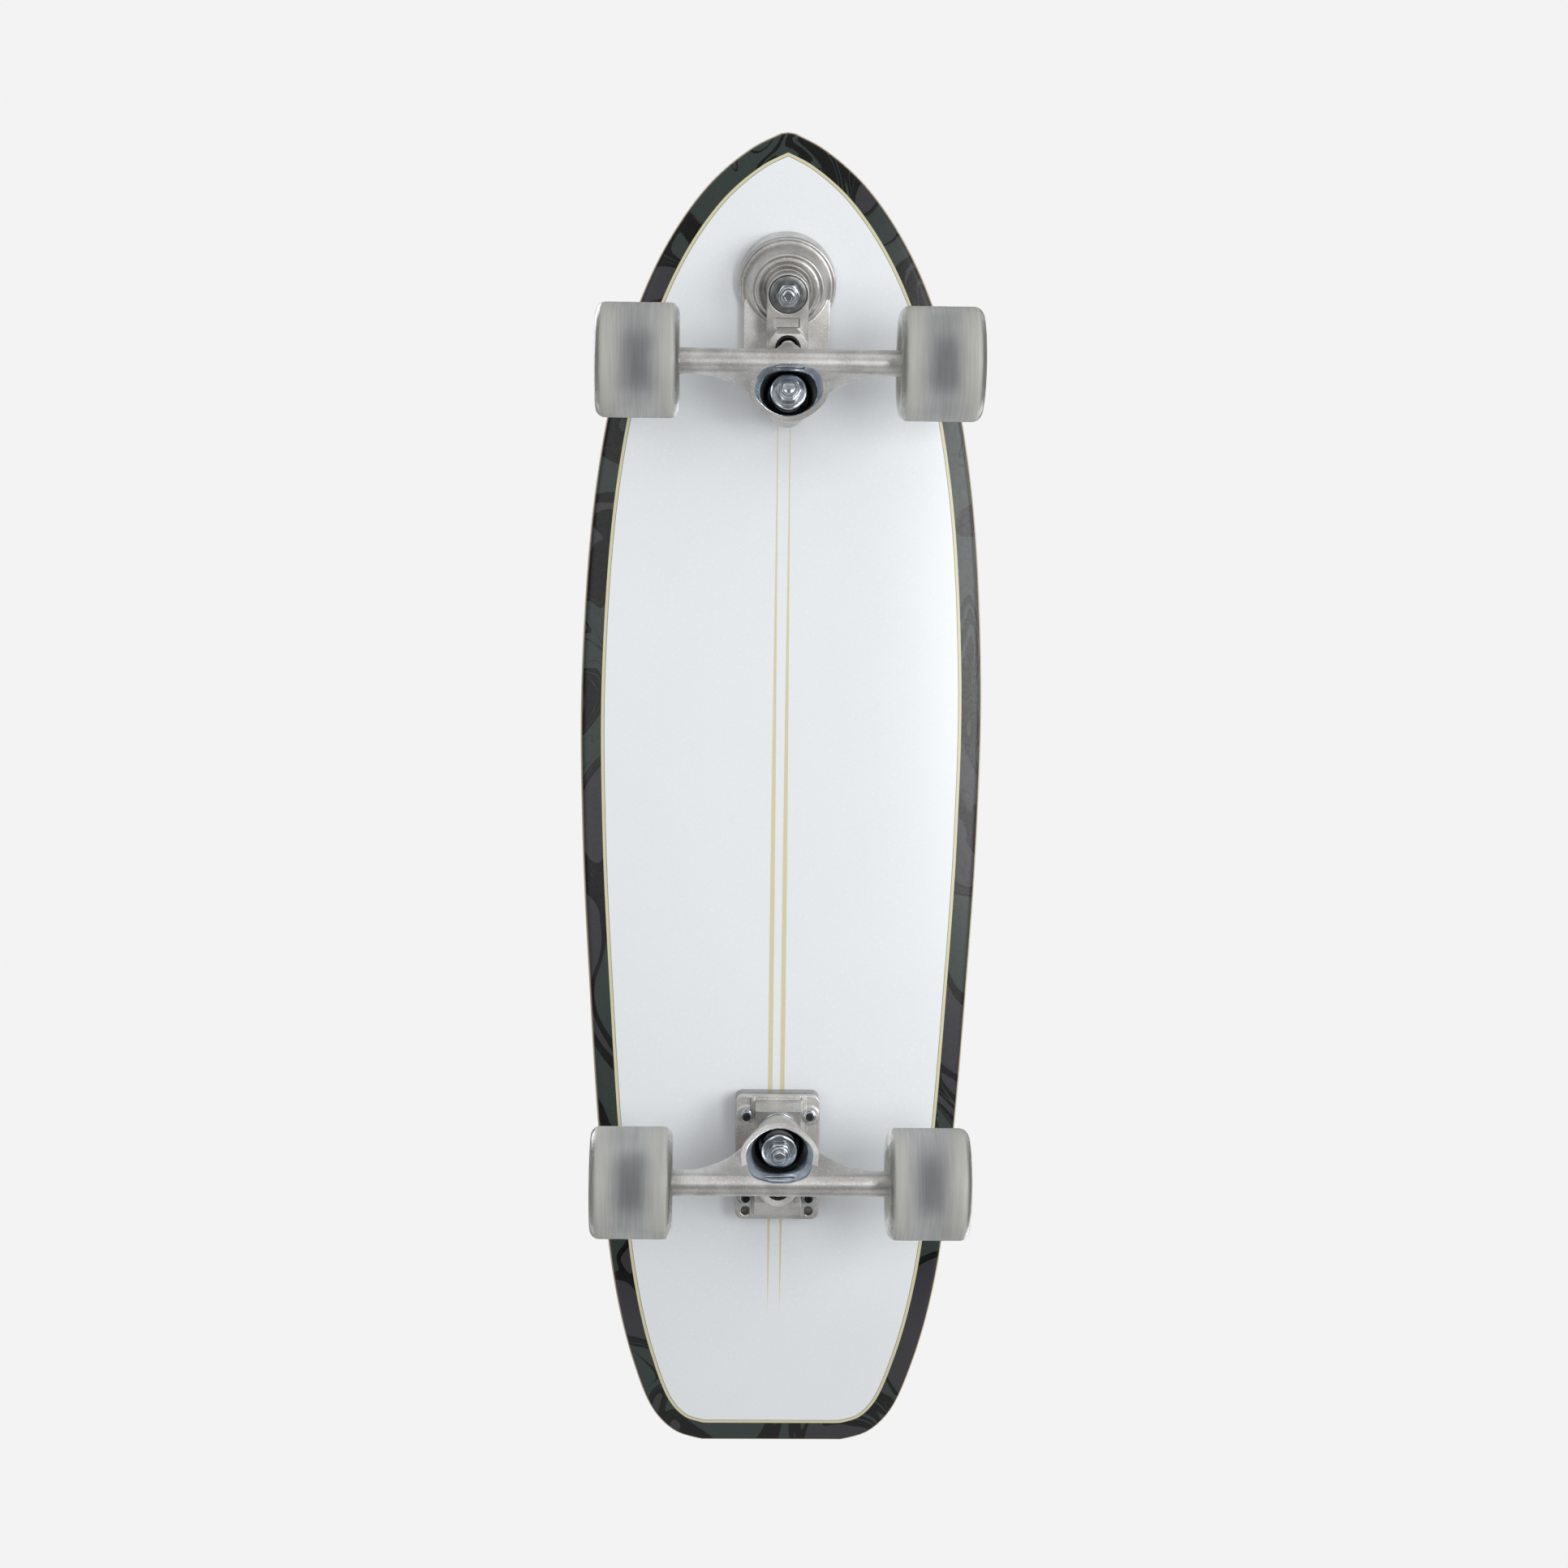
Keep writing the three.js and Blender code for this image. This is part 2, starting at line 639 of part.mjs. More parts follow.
// Convex outline round two circles of [y, z, radius], in the plane x
function hullSection(x, first, second) {
  return Array.from({ length: wingSides }, (_, i) => {
    const angle = (2 * Math.PI * i) / wingSides;
    const [u, v] = [Math.cos(angle), Math.sin(angle)];
    const [near, far] = [first, second].map(([y, z, r]) => [y + r * u, z + r * v]);
    const [y, z] = near[0] * u + near[1] * v > far[0] * u + far[1] * v ? near : far;
    return new THREE.Vector3(x, y, z);
  });
}

// Oval section of the neck that rises from the tube to the pivot
function neckSection([rise, centre, wide, deep]) {
  return Array.from({ length: wingSides }, (_, i) => {
    const angle = (2 * Math.PI * i) / wingSides;
    const x = neckHalfWidth * wide * Math.cos(angle);
    const y = pivotOutboard * centre + neckHalfDepth * deep * Math.sin(angle);
    return new THREE.Vector3(x, y, axleZ + pivotRise * rise);
  });
}

function hangerSolid() {
  const tube = [0, axleZ, tubeRadius];
  const shoulder = [0, axleZ, shoulderRadius];
  const tubeEnd = wheelInnerX + tubeEndReach;
  const shoulderEnd = wheelInnerX + innerBearingStart - seatGap;
  const edge = ([, reach, rise, radius]) =>
    [-reach * wingReach, axleZ + rise * wingRise, radius * wingEdgeRadius];
  const sections = wingShares.map((row) => [row[0] * wingEndX, tube, edge(row)]);
  sections.push([tubeEnd, tube, tube], [tubeEnd, shoulder, shoulder], [shoulderEnd, shoulder, shoulder]);
  const right = sections.map(([x, first, second]) => hullSection(x, first, second));
  const left = sections.slice(1).map(([x, first, second]) => hullSection(-x, first, second));
  const wings = solid(lofted([...left.reverse(), ...right]));

  const acrossFrame = new THREE.Matrix4().makeRotationY(Math.PI / 2).setPosition(0, 0, axleZ);
  const axleEnd = shoulderEnd + cutOverrun;
  const axleBore = solid(disc(axleBoreRadius, -axleEnd, axleEnd), acrossFrame);

  const crown = solid(lofted([kingpinCircle(ringOuterRadius, ringStart), rimRing(1, rimWall)]));
  const neck = solid(lofted(neckShares.map(neckSection)));
  const stem = solid(turned([
    [0, -noseRadius], [noseRadius / 2, -noseRadius * 0.87], [noseRadius * 0.87, -noseRadius / 2],
    [noseRadius, 0], [noseNeckRadius, noseRadius / 2], [noseNeckRadius, cupMouth],
    [stemRootRadius, stemLength], [0, stemLength],
  ]), pivotFrame);

  const floor = kingpinCircle(bowlFloorRadius, ringStart + ringThickness);
  const belly = between(floor, rimRing(2, 0), bellyShare);
  const throat = between(floor, rimRing(3, 0), throatShare);
  const rim = rimRing(1, 0);
  const beyond = between(throat, rim, 1 / (1 - throatShare));
  const bowl = solid(lofted([floor, belly, throat, rim, beyond]));
  const kingpinHole = solid(disc(ringBoreRadius, 0, kingpinTip), kingpinFrame);
  const body = joined(wings, crown, neck, stem);
  return cut(body, bowl, kingpinHole, axleBore);
}

// Boss that holds the pivot cup, and the tools that bore it
const cupBoss = () => solid(disc(cupBossRadius, -cupBossDepth, cupMouth), pivotFrame);
const cupBore = () => solid(disc(cupBoreRadius, -cupBottom - seatGap, cutOverrun), pivotFrame);

// Bore for the kingpin, with a pocket for its head that opens towards the deck
function kingpinTools() {
  const shank = solid(disc(stackBoreRadius, -cutOverrun, cutOverrun), kingpinFrame);
  const pocketDepth = -kingpinHeadDepth - plateThickness - cutOverrun;
  const pocket = solid(disc(kingpinPocketRadius, pocketDepth, -kingpinHeadDepth), kingpinFrame);
  return [shank, pocket];
}

function makeKingpinStack(truckGroup, prefix) {
  const stack = groupAt(truckGroup, kingpinFrame);
  const headTop = -kingpinHeadDepth - seatGap;
  const head = solid(disc(kingpinHeadRadius, headTop - kingpinHeadHeight, headTop, hexSides));
  const shank = solid(turned([
    [0, headTop - kingpinHeadHeight / 2], [kingpinRadius, headTop - kingpinHeadHeight / 2],
    [kingpinRadius, kingpinTip - axleChamfer], [kingpinRadius - axleChamfer, kingpinTip],
    [0, kingpinTip],
  ]));
  add(stack, `${prefix}_kingpin`, joined(head, shank), steel);

  const washerTop = seatGap + flatWasherThickness;
  const washer = solid(ring(stackBoreRadius, flatWasherRadius, seatGap, washerTop));
  add(stack, `${prefix}_board_side_washer`, washer, steel);

  const boardEnd = boardBushingStart + boardBushingHeight;
  const belly = boardBushingRadius + boardBushingBulge;
  const board = turned([
    [stackBoreRadius, boardBushingStart], [boardBushingRadius, boardBushingStart],
    [belly, (boardBushingStart + boardEnd) / 2], [boardBushingRadius, boardEnd],
    [stackBoreRadius, boardEnd],
  ]);
  add(stack, `${prefix}_board_side_bushing`, solid(board), clearUrethane);

  const roadEnd = roadBushingStart + roadBushingHeight;
  const road = turned([
    [stackBoreRadius, roadBushingStart], [roadBushingRadius, roadBushingStart],
    [roadBushingTip, roadEnd], [stackBoreRadius, roadEnd],
  ]);
  add(stack, `${prefix}_road_side_bushing`, solid(road), clearUrethane);

  const cupEnd = cupWasherStart + cupWasherThickness;
  const cupInner = cupWasherRadius - cupWasherWall;
  const cupWasher = turned([
    [stackBoreRadius, cupWasherStart], [cupInner, cupWasherStart],
    [cupInner, cupWasherStart - cupWasherLip], [cupWasherRadius, cupWasherStart - cupWasherLip],
    [cupWasherRadius, cupEnd - cupWasherWall], [cupInner, cupEnd], [stackBoreRadius, cupEnd],
  ]);
  add(stack, `${prefix}_road_side_washer`, solid(cupWasher), steel);
  const lockNut = nut(kingpinNutRadius, kingpinNutHeight, stackBoreRadius, kingpinNutStart);
  add(stack, `${prefix}_kingpin_nut`, lockNut, steel);
}

// Hanger, axle, pivot cup, kingpin stack and two wheels, which both trucks share
function makeTruck(prefix, axleY, turn) {
  const truck = groupAt(model, new THREE.Matrix4().makeRotationZ(turn).setPosition(0, axleY, 0));
  add(truck, `${prefix}_hanger`, hangerSolid(), aluminium);

  const across = groupAt(truck, new THREE.Matrix4().makeRotationY(Math.PI / 2).setPosition(0, 0, axleZ));
  const tip = wheelInnerX + wheelWidth - axleEndInset;
  const bevel = axleRadius - axleChamfer;
  const rod = turned([
    [0, -tip], [bevel, -tip], [axleRadius, axleChamfer - tip], [axleRadius, tip - axleChamfer],
    [bevel, tip], [0, tip],
  ]);
  add(across, `${prefix}_axle`, solid(rod), steel);

  const cupGroup = groupAt(truck, pivotFrame);
  const cup = turned([
    [0, -cupBottom], [cupOuterRadius, -cupBottom], [cupOuterRadius, cupMouth],
    [cupMouthRadius, cupMouth], [cupBallRadius, 0], [cupBallRadius * 0.87, -cupBallRadius / 2],
    [cupBallRadius / 2, -cupBallRadius * 0.87], [0, -cupBallRadius],
  ]);
  add(cupGroup, `${prefix}_pivot_cup`, solid(cup), rubber);

  makeKingpinStack(truck, prefix);
  const outwardTurn = Math.cos(turn);
  makeWheel(truck, `${prefix}_left`, outwardTurn);
  makeWheel(truck, `${prefix}_right`, -outwardTurn);
  return truck;
}

// Rear baseplate and riser pad: a plate with a ramped block that carries kingpin and pivot cup
function makeRearBaseplate(truck) {
  const outline = roundedRectangle(
    -plateHalfWidth, plateHalfWidth, -plateInboard, plateOutboard, plateCornerRadius);
  const plate = solid(drawn(outline, plateRoadZ, plateTopZ));
  const seat = (offset) => [
    -kingpinInboard + offset * Math.cos(kingpinLean * degree),
    axleZ + kingpinSeatRise + offset * Math.sin(kingpinLean * degree),
  ];
  const block = solid(sideways([
    [-blockInboard, plateRoadZ + seatGap], [-blockInboard, plateRoadZ - seatGap],
    [-blockRampTop, seat(kingpinInboard - blockRampTop)[1]], seat(flatWasherRadius),
    [0, axleZ + pivotRise], [blockShoulder, axleZ + blockShoulderRise],
    [blockOutboard, plateRoadZ - seatGap], [blockOutboard, plateRoadZ + seatGap],
  ], blockHalfWidth));
  const ribs = [-1, 1].map((side) => {
    const rib = sideways([
      [-ribReach, plateRoadZ + seatGap], [-ribReach, axleZ + ribRise - seatGap],
      [blockOutboard, axleZ + ribRise - seatGap], [blockOutboard, plateRoadZ + seatGap],
    ], ribHalfThickness);
    return solid(rib, new THREE.Matrix4().setPosition(side * (blockHalfWidth + ribHalfThickness), 0, 0));
  });
  const seatBoss = solid(disc(flatWasherRadius, -cutOverrun / 2, 0), kingpinFrame);
  const rows = [-boltSpacingY / 2, boltSpacingY / 2, oldBoltSpacingY - boltSpacingY / 2];
  const holes = rows.flatMap((row) => [-1, 1].map((side) => {
    const place = new THREE.Matrix4();
    place.setPosition((side * boltSpacingX) / 2, rearPatternOffset + row, 0);
    return solid(disc(boltHoleRadius, plateRoadZ - cutOverrun, hardwareTopZ + cutOverrun, boltSides), place);
  }));
  const whole = joined(plate, block, ...ribs, seatBoss, cupBoss());
  const above = solid(drawn(outline, plateTopZ, plateTopZ + cutOverrun));
  add(truck, 'rear_baseplate', cut(whole, above, cupBore(), ...kingpinTools(), ...holes), aluminium);

  const riser = solid(drawn(outline, hardwareTopZ - riserThickness, hardwareTopZ));
  add(truck, 'rear_riser_pad', cut(riser, ...holes), smokeUrethane);
}

// Front housing and swing arm

const swingFrame = leaningFrame(swingOutboard, axleZ + swingRise, -swingLean);
const armDeckSide = -armThickness;
const collarTop = armDeckSide - seatGap;
const domeTop = collarTop - collarHeight;
const hubEnd = armDeckSide - hubLength;

// Place on the arm's middle plane, inboard of the swing axis and along it
function onArm(inboard, along) {
  const place = new THREE.Vector3(0, inboard, along).applyMatrix4(swingFrame);
  return [place.y, place.z];
}

function makeHousing(truck) {
  const skirtEnd = domeTop - cutOverrun - skirtDepth;
  const profile = [
    [domeBoreRadius, collarTop], [collarRadius, collarTop], [collarRadius, domeTop],
    [domeTopRadius, domeTop], [grooveRadius, domeTop - grooveDepth],
    [crestInnerRadius, domeTop], [(crestInnerRadius + crestOuterRadius) / 2, domeTop + crestLift],
    [crestOuterRadius, domeTop - crestLift], [coveRadius, domeTop - coveDepth],
    [lipRadius, domeTop - lipDepth], [skirtRadius, domeTop - skirtDepth], [skirtRadius, skirtEnd],
    [cavityRadius, skirtEnd], [cavityRadius, domeTop - cavityFloor],
    [domeBoreRadius, domeTop - cavityFloor],
  ];
  const dome = solid(turned(profile, domeSides), swingFrame);
  const hollow = solid(disc(cavityRadius, skirtEnd, domeTop - cavityFloor, domeSides), swingFrame);
  const bore = solid(disc(domeBoreRadius, skirtEnd, 0, domeSides), swingFrame);
  const roadZ = hardwareTopZ - baseThickness;
  const outline = roundedRectangle(
    -baseHalfWidth, baseHalfWidth, -baseInboard, swingOutboard, baseCornerRadius);
  const base = solid(drawn(outline, roadZ, hardwareTopZ));
  const reach = skirtRadius * 2;
  const wide = roundedRectangle(-reach, reach, -reach, 2 * reach + swingOutboard, baseCornerRadius);
  const above = solid(drawn(wide, hardwareTopZ, hardwareTopZ + 2 * cutOverrun));
  const threads = [-1, 1].flatMap((row) => [-1, 1].map((side) => {
    const place = new THREE.Matrix4();
    place.setPosition((side * boltSpacingX) / 2, frontPatternOffset + (row * boltSpacingY) / 2, 0);
    const low = hardwareTopZ - boltThreadDepth;
    return solid(disc(boltHoleRadius, low, hardwareTopZ + cutOverrun, boltSides), place);
  }));
  const shell = cut(joined(dome, base), above, hollow, bore, ...threads);
  add(truck, 'front_housing', shell, aluminium);
}

function makeSwingArm(truck) {
  const seat = (offset) => [
    -kingpinInboard + offset * Math.cos(kingpinLean * degree),
    axleZ + kingpinSeatRise + offset * Math.sin(kingpinLean * degree),
  ];
  const deckSideZ = deckBottomZ - armDeckGap;
  const [axisY, axisZ] = onArm(0, armDeckSide);
  const bendY = axisY - (deckSideZ - axisZ) / Math.tan(swingLean * degree);
  const bar = solid(sideways([
    onArm(0, 0), onArm(armBend, 0), seat(flatWasherRadius), seat(-armHalfWidth),
    [-armEndInboard, axleZ + armEndRise], [-kingpinInboard, deckSideZ], [bendY, deckSideZ],
    [axisY, axisZ],
  ], armHalfWidth));
  const plan = drawn(roundedRectangle(
    -armHalfWidth, armHalfWidth, -armEndInboard, swingOutboard + armHalfWidth, armHalfWidth,
  ), axleZ, deckBottomZ);
  const eye = solid(disc(armHalfWidth, armDeckSide, 0), swingFrame);
  const hub = solid(disc(hubRadius, hubEnd, -armThickness / 2), swingFrame);
  const seatBoss = solid(disc(flatWasherRadius, -kingpinHeadDepth, 0), kingpinFrame);
  const bore = solid(disc(hubBoreRadius, hubEnd - cutOverrun, cutOverrun), swingFrame);
  const well = solid(disc(swingWasherWell, -swingWasherThickness - seatGap, cutOverrun), swingFrame);
  const recess = solid(drawn(roundedRectangle(
    -armRecessHalfWidth, armRecessHalfWidth, armRecessStart, armRecessStart + armRecessLength,
    armRecessDepth), -armRecessDepth, cutOverrun), swingFrame);
  const body = joined(bar.intersect(solid(plan)), eye, hub, seatBoss, cupBoss());
  const arm = cut(body, bore, well, recess, cupBore(), ...kingpinTools());
  add(truck, 'front_swing_arm', arm, aluminium);
}

// Points of the spring's centre line, about the swing axis
function springPoints() {
  const floor = domeTop - cavityFloor - seatGap - springWire;
  return Array.from({ length: springTurns * springTurnSteps + 1 }, (_, i) => {
    const angle = (2 * Math.PI * i) / springTurnSteps;
    const height = floor - (springPitch * i) / springTurnSteps;
    return new THREE.Vector3(springRadius * Math.cos(angle), springRadius * Math.sin(angle), height);
  });
}

// Round wire along the spring's points, with flat ends
function springSolid() {
  const rings = springPoints().map((centre) => {
    const outward = new THREE.Vector3(centre.x, centre.y, 0).normalize();
    return Array.from({ length: springSides }, (_, i) => {
      const angle = (2 * Math.PI * i) / springSides;
      const place = centre.clone().addScaledVector(outward, springWire * Math.cos(angle));
      return place.add(new THREE.Vector3(0, 0, springWire * Math.sin(angle)));
    });
  });
  return solid(lofted(rings));
}

// Least clear gap between turns, measured on the centre line's points
function springGap() {
  const points = springPoints();
  let least = Infinity;
  for (let i = 0; i < points.length; i += 1) {
    for (let j = i + springTurnSteps / 2; j < points.length; j += 1) {
      least = Math.min(least, points[i].distanceTo(points[j]) - 2 * springWire);
    }
  }
  return least;
}

function makeSwingHardware(truck) {
  const axis = groupAt(truck, swingFrame);
  add(axis, 'front_centring_spring', springSolid(), springSteel);

  const headTop = hubEnd - seatGap;
  const nutStart = seatGap;
  const tip = nutStart + swingNutHeight + nutCollarHeight + swingBoltEnd;
  const head = solid(disc(swingBoltHeadRadius, headTop - swingBoltHeadHeight, headTop, hexSides));
  const shank = solid(turned([
    [0, headTop - swingBoltHeadHeight / 2], [swingBoltRadius, headTop - swingBoltHeadHeight / 2],
    [swingBoltRadius, tip - axleChamfer], [swingBoltRadius - axleChamfer, tip], [0, tip],
  ]));
  const socket = solid(disc(swingSocketRadius, tip - swingSocketDepth, tip + cutOverrun, hexSides));
  add(axis, 'front_pivot_bolt', cut(joined(head, shank), socket), steel);

  const washer = ring(hubBoreRadius, swingWasherRadius, -swingWasherThickness, 0);
  add(axis, 'front_pivot_washer', solid(washer), steel);
  add(axis, 'front_pivot_nut', nut(swingNutRadius, swingNutHeight, hubBoreRadius, nutStart), steel);
}

makeBoard();
makeBolts();
const rearTruck = makeTruck('rear', rearAxleY, 0);
makeRearBaseplate(rearTruck);
const frontTruck = makeTruck('front', frontAxleY, Math.PI);
makeHousing(frontTruck);
makeSwingArm(frontTruck);
makeSwingHardware(frontTruck);
console.log(`least gap between spring turns: ${springGap().toFixed(2)} mm`);

export default model;
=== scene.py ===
"""Looks of the surf skateboard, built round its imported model, in metres."""

import logging
import math
from dataclasses import dataclass
from enum import Enum
from typing import Sequence

import bpy
import numpy as np
from mathutils import Matrix, Vector
from mathutils.bvhtree import BVHTree

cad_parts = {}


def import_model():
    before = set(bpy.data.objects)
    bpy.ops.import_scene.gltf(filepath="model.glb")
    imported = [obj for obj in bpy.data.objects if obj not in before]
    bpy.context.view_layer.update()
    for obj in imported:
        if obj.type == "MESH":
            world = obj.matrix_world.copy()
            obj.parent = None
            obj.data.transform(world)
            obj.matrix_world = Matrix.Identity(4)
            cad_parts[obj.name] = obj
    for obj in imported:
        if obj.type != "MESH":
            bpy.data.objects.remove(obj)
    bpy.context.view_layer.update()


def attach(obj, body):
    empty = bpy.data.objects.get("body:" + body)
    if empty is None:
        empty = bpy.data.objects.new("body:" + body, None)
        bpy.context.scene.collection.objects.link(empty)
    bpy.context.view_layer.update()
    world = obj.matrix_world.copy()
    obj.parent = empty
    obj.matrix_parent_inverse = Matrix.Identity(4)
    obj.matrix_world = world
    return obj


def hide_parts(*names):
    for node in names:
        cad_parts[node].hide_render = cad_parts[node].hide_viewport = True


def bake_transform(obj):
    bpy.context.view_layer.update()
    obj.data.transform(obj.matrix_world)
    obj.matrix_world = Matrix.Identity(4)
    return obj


LOG = logging.getLogger("surf_skateboard")
MM = 0.001
TINY = 1e-6
SMOOTH_SIDES = 96
CORNER_STEPS = 8
CASTING_TRIANGLES = 160000
Point = tuple[float, float]
Place = tuple[float, float, float]
Colour = tuple[float, float, float]
Table = tuple[tuple[float, ...], ...]
Piece = bpy.types.Object
Socket = bpy.types.NodeSocket
Material = bpy.types.Material


@dataclass(frozen=True)
class Layout:
    """Sizes and places that deck, bolts, trucks and wheels share, in millimetres."""

    front_axle: float = -284.5
    rear_axle: float = 232.5
    axle_height: float = 35.5
    wheel_inner: float = 68.0
    front_bolts: float = -314.5
    rear_bolts: float = 227.0
    bolts_across: float = 41.3
    bolts_along: float = 54.0
    bolt_hole: float = 2.9


LAYOUT = Layout()


class Body(Enum):
    """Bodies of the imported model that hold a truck."""

    BOARD = "board"
    FRONT_ARM = "front_arm"


class Slot(Enum):
    """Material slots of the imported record."""

    MAPLE = "maple"
    GRIT = "grit"
    ALUMINIUM = "cast_aluminium"
    ZINC = "zinc_steel"
    BLACK_STEEL = "black_steel"
    SMOKE = "smoke_urethane"
    CLEAR = "clear_urethane"
    CORE = "core_plastic"
    RUBBER = "black_rubber"
    SPRING = "spring_steel"


class Cut(Enum):
    """Ways of putting two closed shells together."""

    JOIN = "UNION"
    TAKE = "DIFFERENCE"
    KEEP = "INTERSECT"


# Shells and what is done with them


@dataclass
class Shell:
    """Closed skin in millimetres.

    Args:
        points: one row of x, y, z for each vertex.
        faces: vertex numbers of each face.
    """

    points: np.ndarray
    faces: list[tuple[int, ...]]

    def moved(self, matrix: Matrix) -> "Shell":
        """Returns the shell placed by a matrix in millimetres."""
        table = np.array(matrix)
        return Shell(self.points @ table[:3, :3].T + table[:3, 3], self.faces)

    def made(self, name: str) -> Piece:
        """Makes a mesh object of the shell in metres, with its faces outwards.

        Args:
            name: the object's name.

        Returns:
            The object.
        """
        mesh = bpy.data.meshes.new(name)
        mesh.from_pydata((self.points * MM).tolist(), [], self.faces)
        mesh.validate()
        mesh.update()
        volume = 0.0
        mesh.calc_loop_triangles()
        for triangle in mesh.loop_triangles:
            a, b, c = (mesh.vertices[i].co for i in triangle.vertices)
            volume += a.dot(b.cross(c))
        if volume < 0:
            mesh.flip_normals()
        piece = bpy.data.objects.new(name, mesh)
        bpy.context.scene.collection.objects.link(piece)
        return piece

    @classmethod
    def of(cls, piece: Piece) -> "Shell":
        """Reads a piece back as a shell and uses the piece up.

        Args:
            piece: the mesh object.

        Returns:
            Its shell.
        """
        points = np.array([tuple(vertex.co) for vertex in piece.data.vertices]) / MM
        faces = [tuple(face.vertices) for face in piece.data.polygons]
        bpy.data.objects.remove(piece)
        return cls(points, faces)

    @classmethod
    def turned(cls, profile: Sequence[Point], sides: int = SMOOTH_SIDES) -> "Shell":
        """Turns a closed profile about Z.

        Args:
            profile: radius and height of each corner; a zero radius lies on the axis.
            sides: number of sides round.

        Returns:
            The closed shell.
        """
        points: list[Place] = []
        rows: list[list[int]] = []
        for radius, height in profile:
            start = len(points)
            if radius < TINY:
                points.append((0.0, 0.0, height))
                rows.append([start] * sides)
                continue
            for i in range(sides):
                angle = 2 * math.pi * i / sides
                points.append((radius * math.cos(angle), radius * math.sin(angle), height))
            rows.append(list(range(start, start + sides)))
        faces = []
        for low, high in zip(rows, rows[1:] + rows[:1]):
            for i in range(sides):
                j = (i + 1) % sides
                loop = list(dict.fromkeys((low[i], low[j], high[j], high[i])))
                if len(loop) > 2:
                    faces.append(tuple(loop))
        return cls(np.array(points), faces)

    @classmethod
    def lofted(cls, rings: Sequence[np.ndarray]) -> "Shell":
        """Skins rings of points and closes both ends.

        Args:
            rings: rings of equally many points.

        Returns:
            The closed shell.
        """
        count = len(rings[0])
        faces = []
        for level in range(len(rings) - 1):
            for i in range(count):
                a, b = level * count + i, level * count + (i + 1) % count
                faces.append((a, b, b + count, a + count))
        last = (len(rings) - 1) * count
        faces.append(tuple(reversed(range(count))))
        faces.append(tuple(range(last, last + count)))
        return cls(np.vstack(rings), faces)

    @classmethod
    def drawn(cls, outline: Sequence[Point], low: float, high: float) -> "Shell":
        """Draws a flat outline up along Z.

        Args:
            outline: its corners as x, y.
            low: height of its lower face.
            high: height of its upper face.

        Returns:
            The closed shell.
        """
        flat = np.array(outline, float)
        rings = [np.column_stack([flat, np.full(len(flat), level)]) for level in (low, high)]
        return cls.lofted(rings)

    @classmethod
    def sideways(cls, outline: Sequence[Point], half: float) -> "Shell":
        """Draws a side outline across the board.

        Args:
            outline: its corners as y, z.
            half: how far it reaches each way.

        Returns:
            The closed shell.
        """
        flat = np.array(outline, float)
        rings = [np.column_stack([np.full(len(flat), x), flat]) for x in (-half, half)]
        return cls.lofted(rings)

    @classmethod
    def disc(cls, radius: float, low: float, high: float, sides: int = SMOOTH_SIDES) -> "Shell":
        """Returns a round bar along Z."""
        return cls.turned([(0, low), (radius, low), (radius, high), (0, high)], sides)


def evaluated(piece: Piece) -> Piece:
    """Bakes an object's modifiers into its mesh.

    Args:
        piece: the object.

    Returns:
        The same object, without modifiers.
    """
    graph = bpy.context.evaluated_depsgraph_get()
    mesh = bpy.data.meshes.new_from_object(piece.evaluated_get(graph), depsgraph=graph)
    piece.modifiers.clear()
    piece.data = mesh
    return piece


def worked(piece: Piece, tool: Shell, how: Cut) -> Piece:
    """Joins a shell to a piece, takes it away, or keeps what both share.

    Args:
        piece: the piece under way.
        tool: the closed shell.
        how: what is done with it.

    Returns:
        The piece.
    """
    other = tool.made("tool")
    step = piece.modifiers.new("step", "BOOLEAN")
    step.operation = how.value
    step.solver = "MANIFOLD"
    step.object = other
    evaluated(piece)
    bpy.data.objects.remove(other)
    return piece


def fused(name: str, adds: Sequence[Shell], cuts: Sequence[Shell] = ()) -> Piece:
    """Joins shells into one closed piece and cuts others out of it.

    Args:
        name: the piece's name.
        adds: shells that are joined.
        cuts: shells that are taken away.

    Returns:
        The piece.
    """
    piece = adds[0].made(name)
    for shell in adds[1:]:
        worked(piece, shell, Cut.JOIN)
    for shell in cuts:
        worked(piece, shell, Cut.TAKE)
    return piece


def poured(
    name: str,
    adds: Sequence[Shell],
    cuts: Sequence[Shell],
    grain: float = 0.45,
    rounds: int = 6,
) -> Piece:
    """Makes a casting: fused shells whose edges and inner corners are all rounded.

    Args:
        name: the piece's name.
        adds: shells that are joined.
        cuts: shells that are taken away.
        grain: size of the skin's mesh in millimetres.
        rounds: how often the skin is smoothed.

    Returns:
        The finished object.
    """
    piece = fused(name, adds, cuts)
    skin = piece.modifiers.new("skin", "REMESH")
    skin.mode = "VOXEL"
    skin.voxel_size = grain * MM
    soft = piece.modifiers.new("soft", "SMOOTH")
    soft.factor = 0.5
    soft.iterations = rounds
    evaluated(piece)
    triangles = sum(len(face.vertices) - 2 for face in piece.data.polygons)
    thin = piece.modifiers.new("thin", "DECIMATE")
    thin.ratio = min(1.0, CASTING_TRIANGLES / triangles)
    evaluated(piece)
    return rounded_shading(piece)


def rounded_shading(piece: Piece, sharp: float | None = None) -> Piece:
    """Shades a piece smooth.

    Args:
        piece: the mesh object.
        sharp: angle in degrees over which an edge stays sharp, or None for no sharp edge.

    Returns:
        The piece.
    """
    mesh = piece.data
    mesh.polygons.foreach_set("use_smooth", [True] * len(mesh.polygons))
    if sharp is not None:
        mesh.set_sharp_from_angle(angle=math.radians(sharp))
    return piece


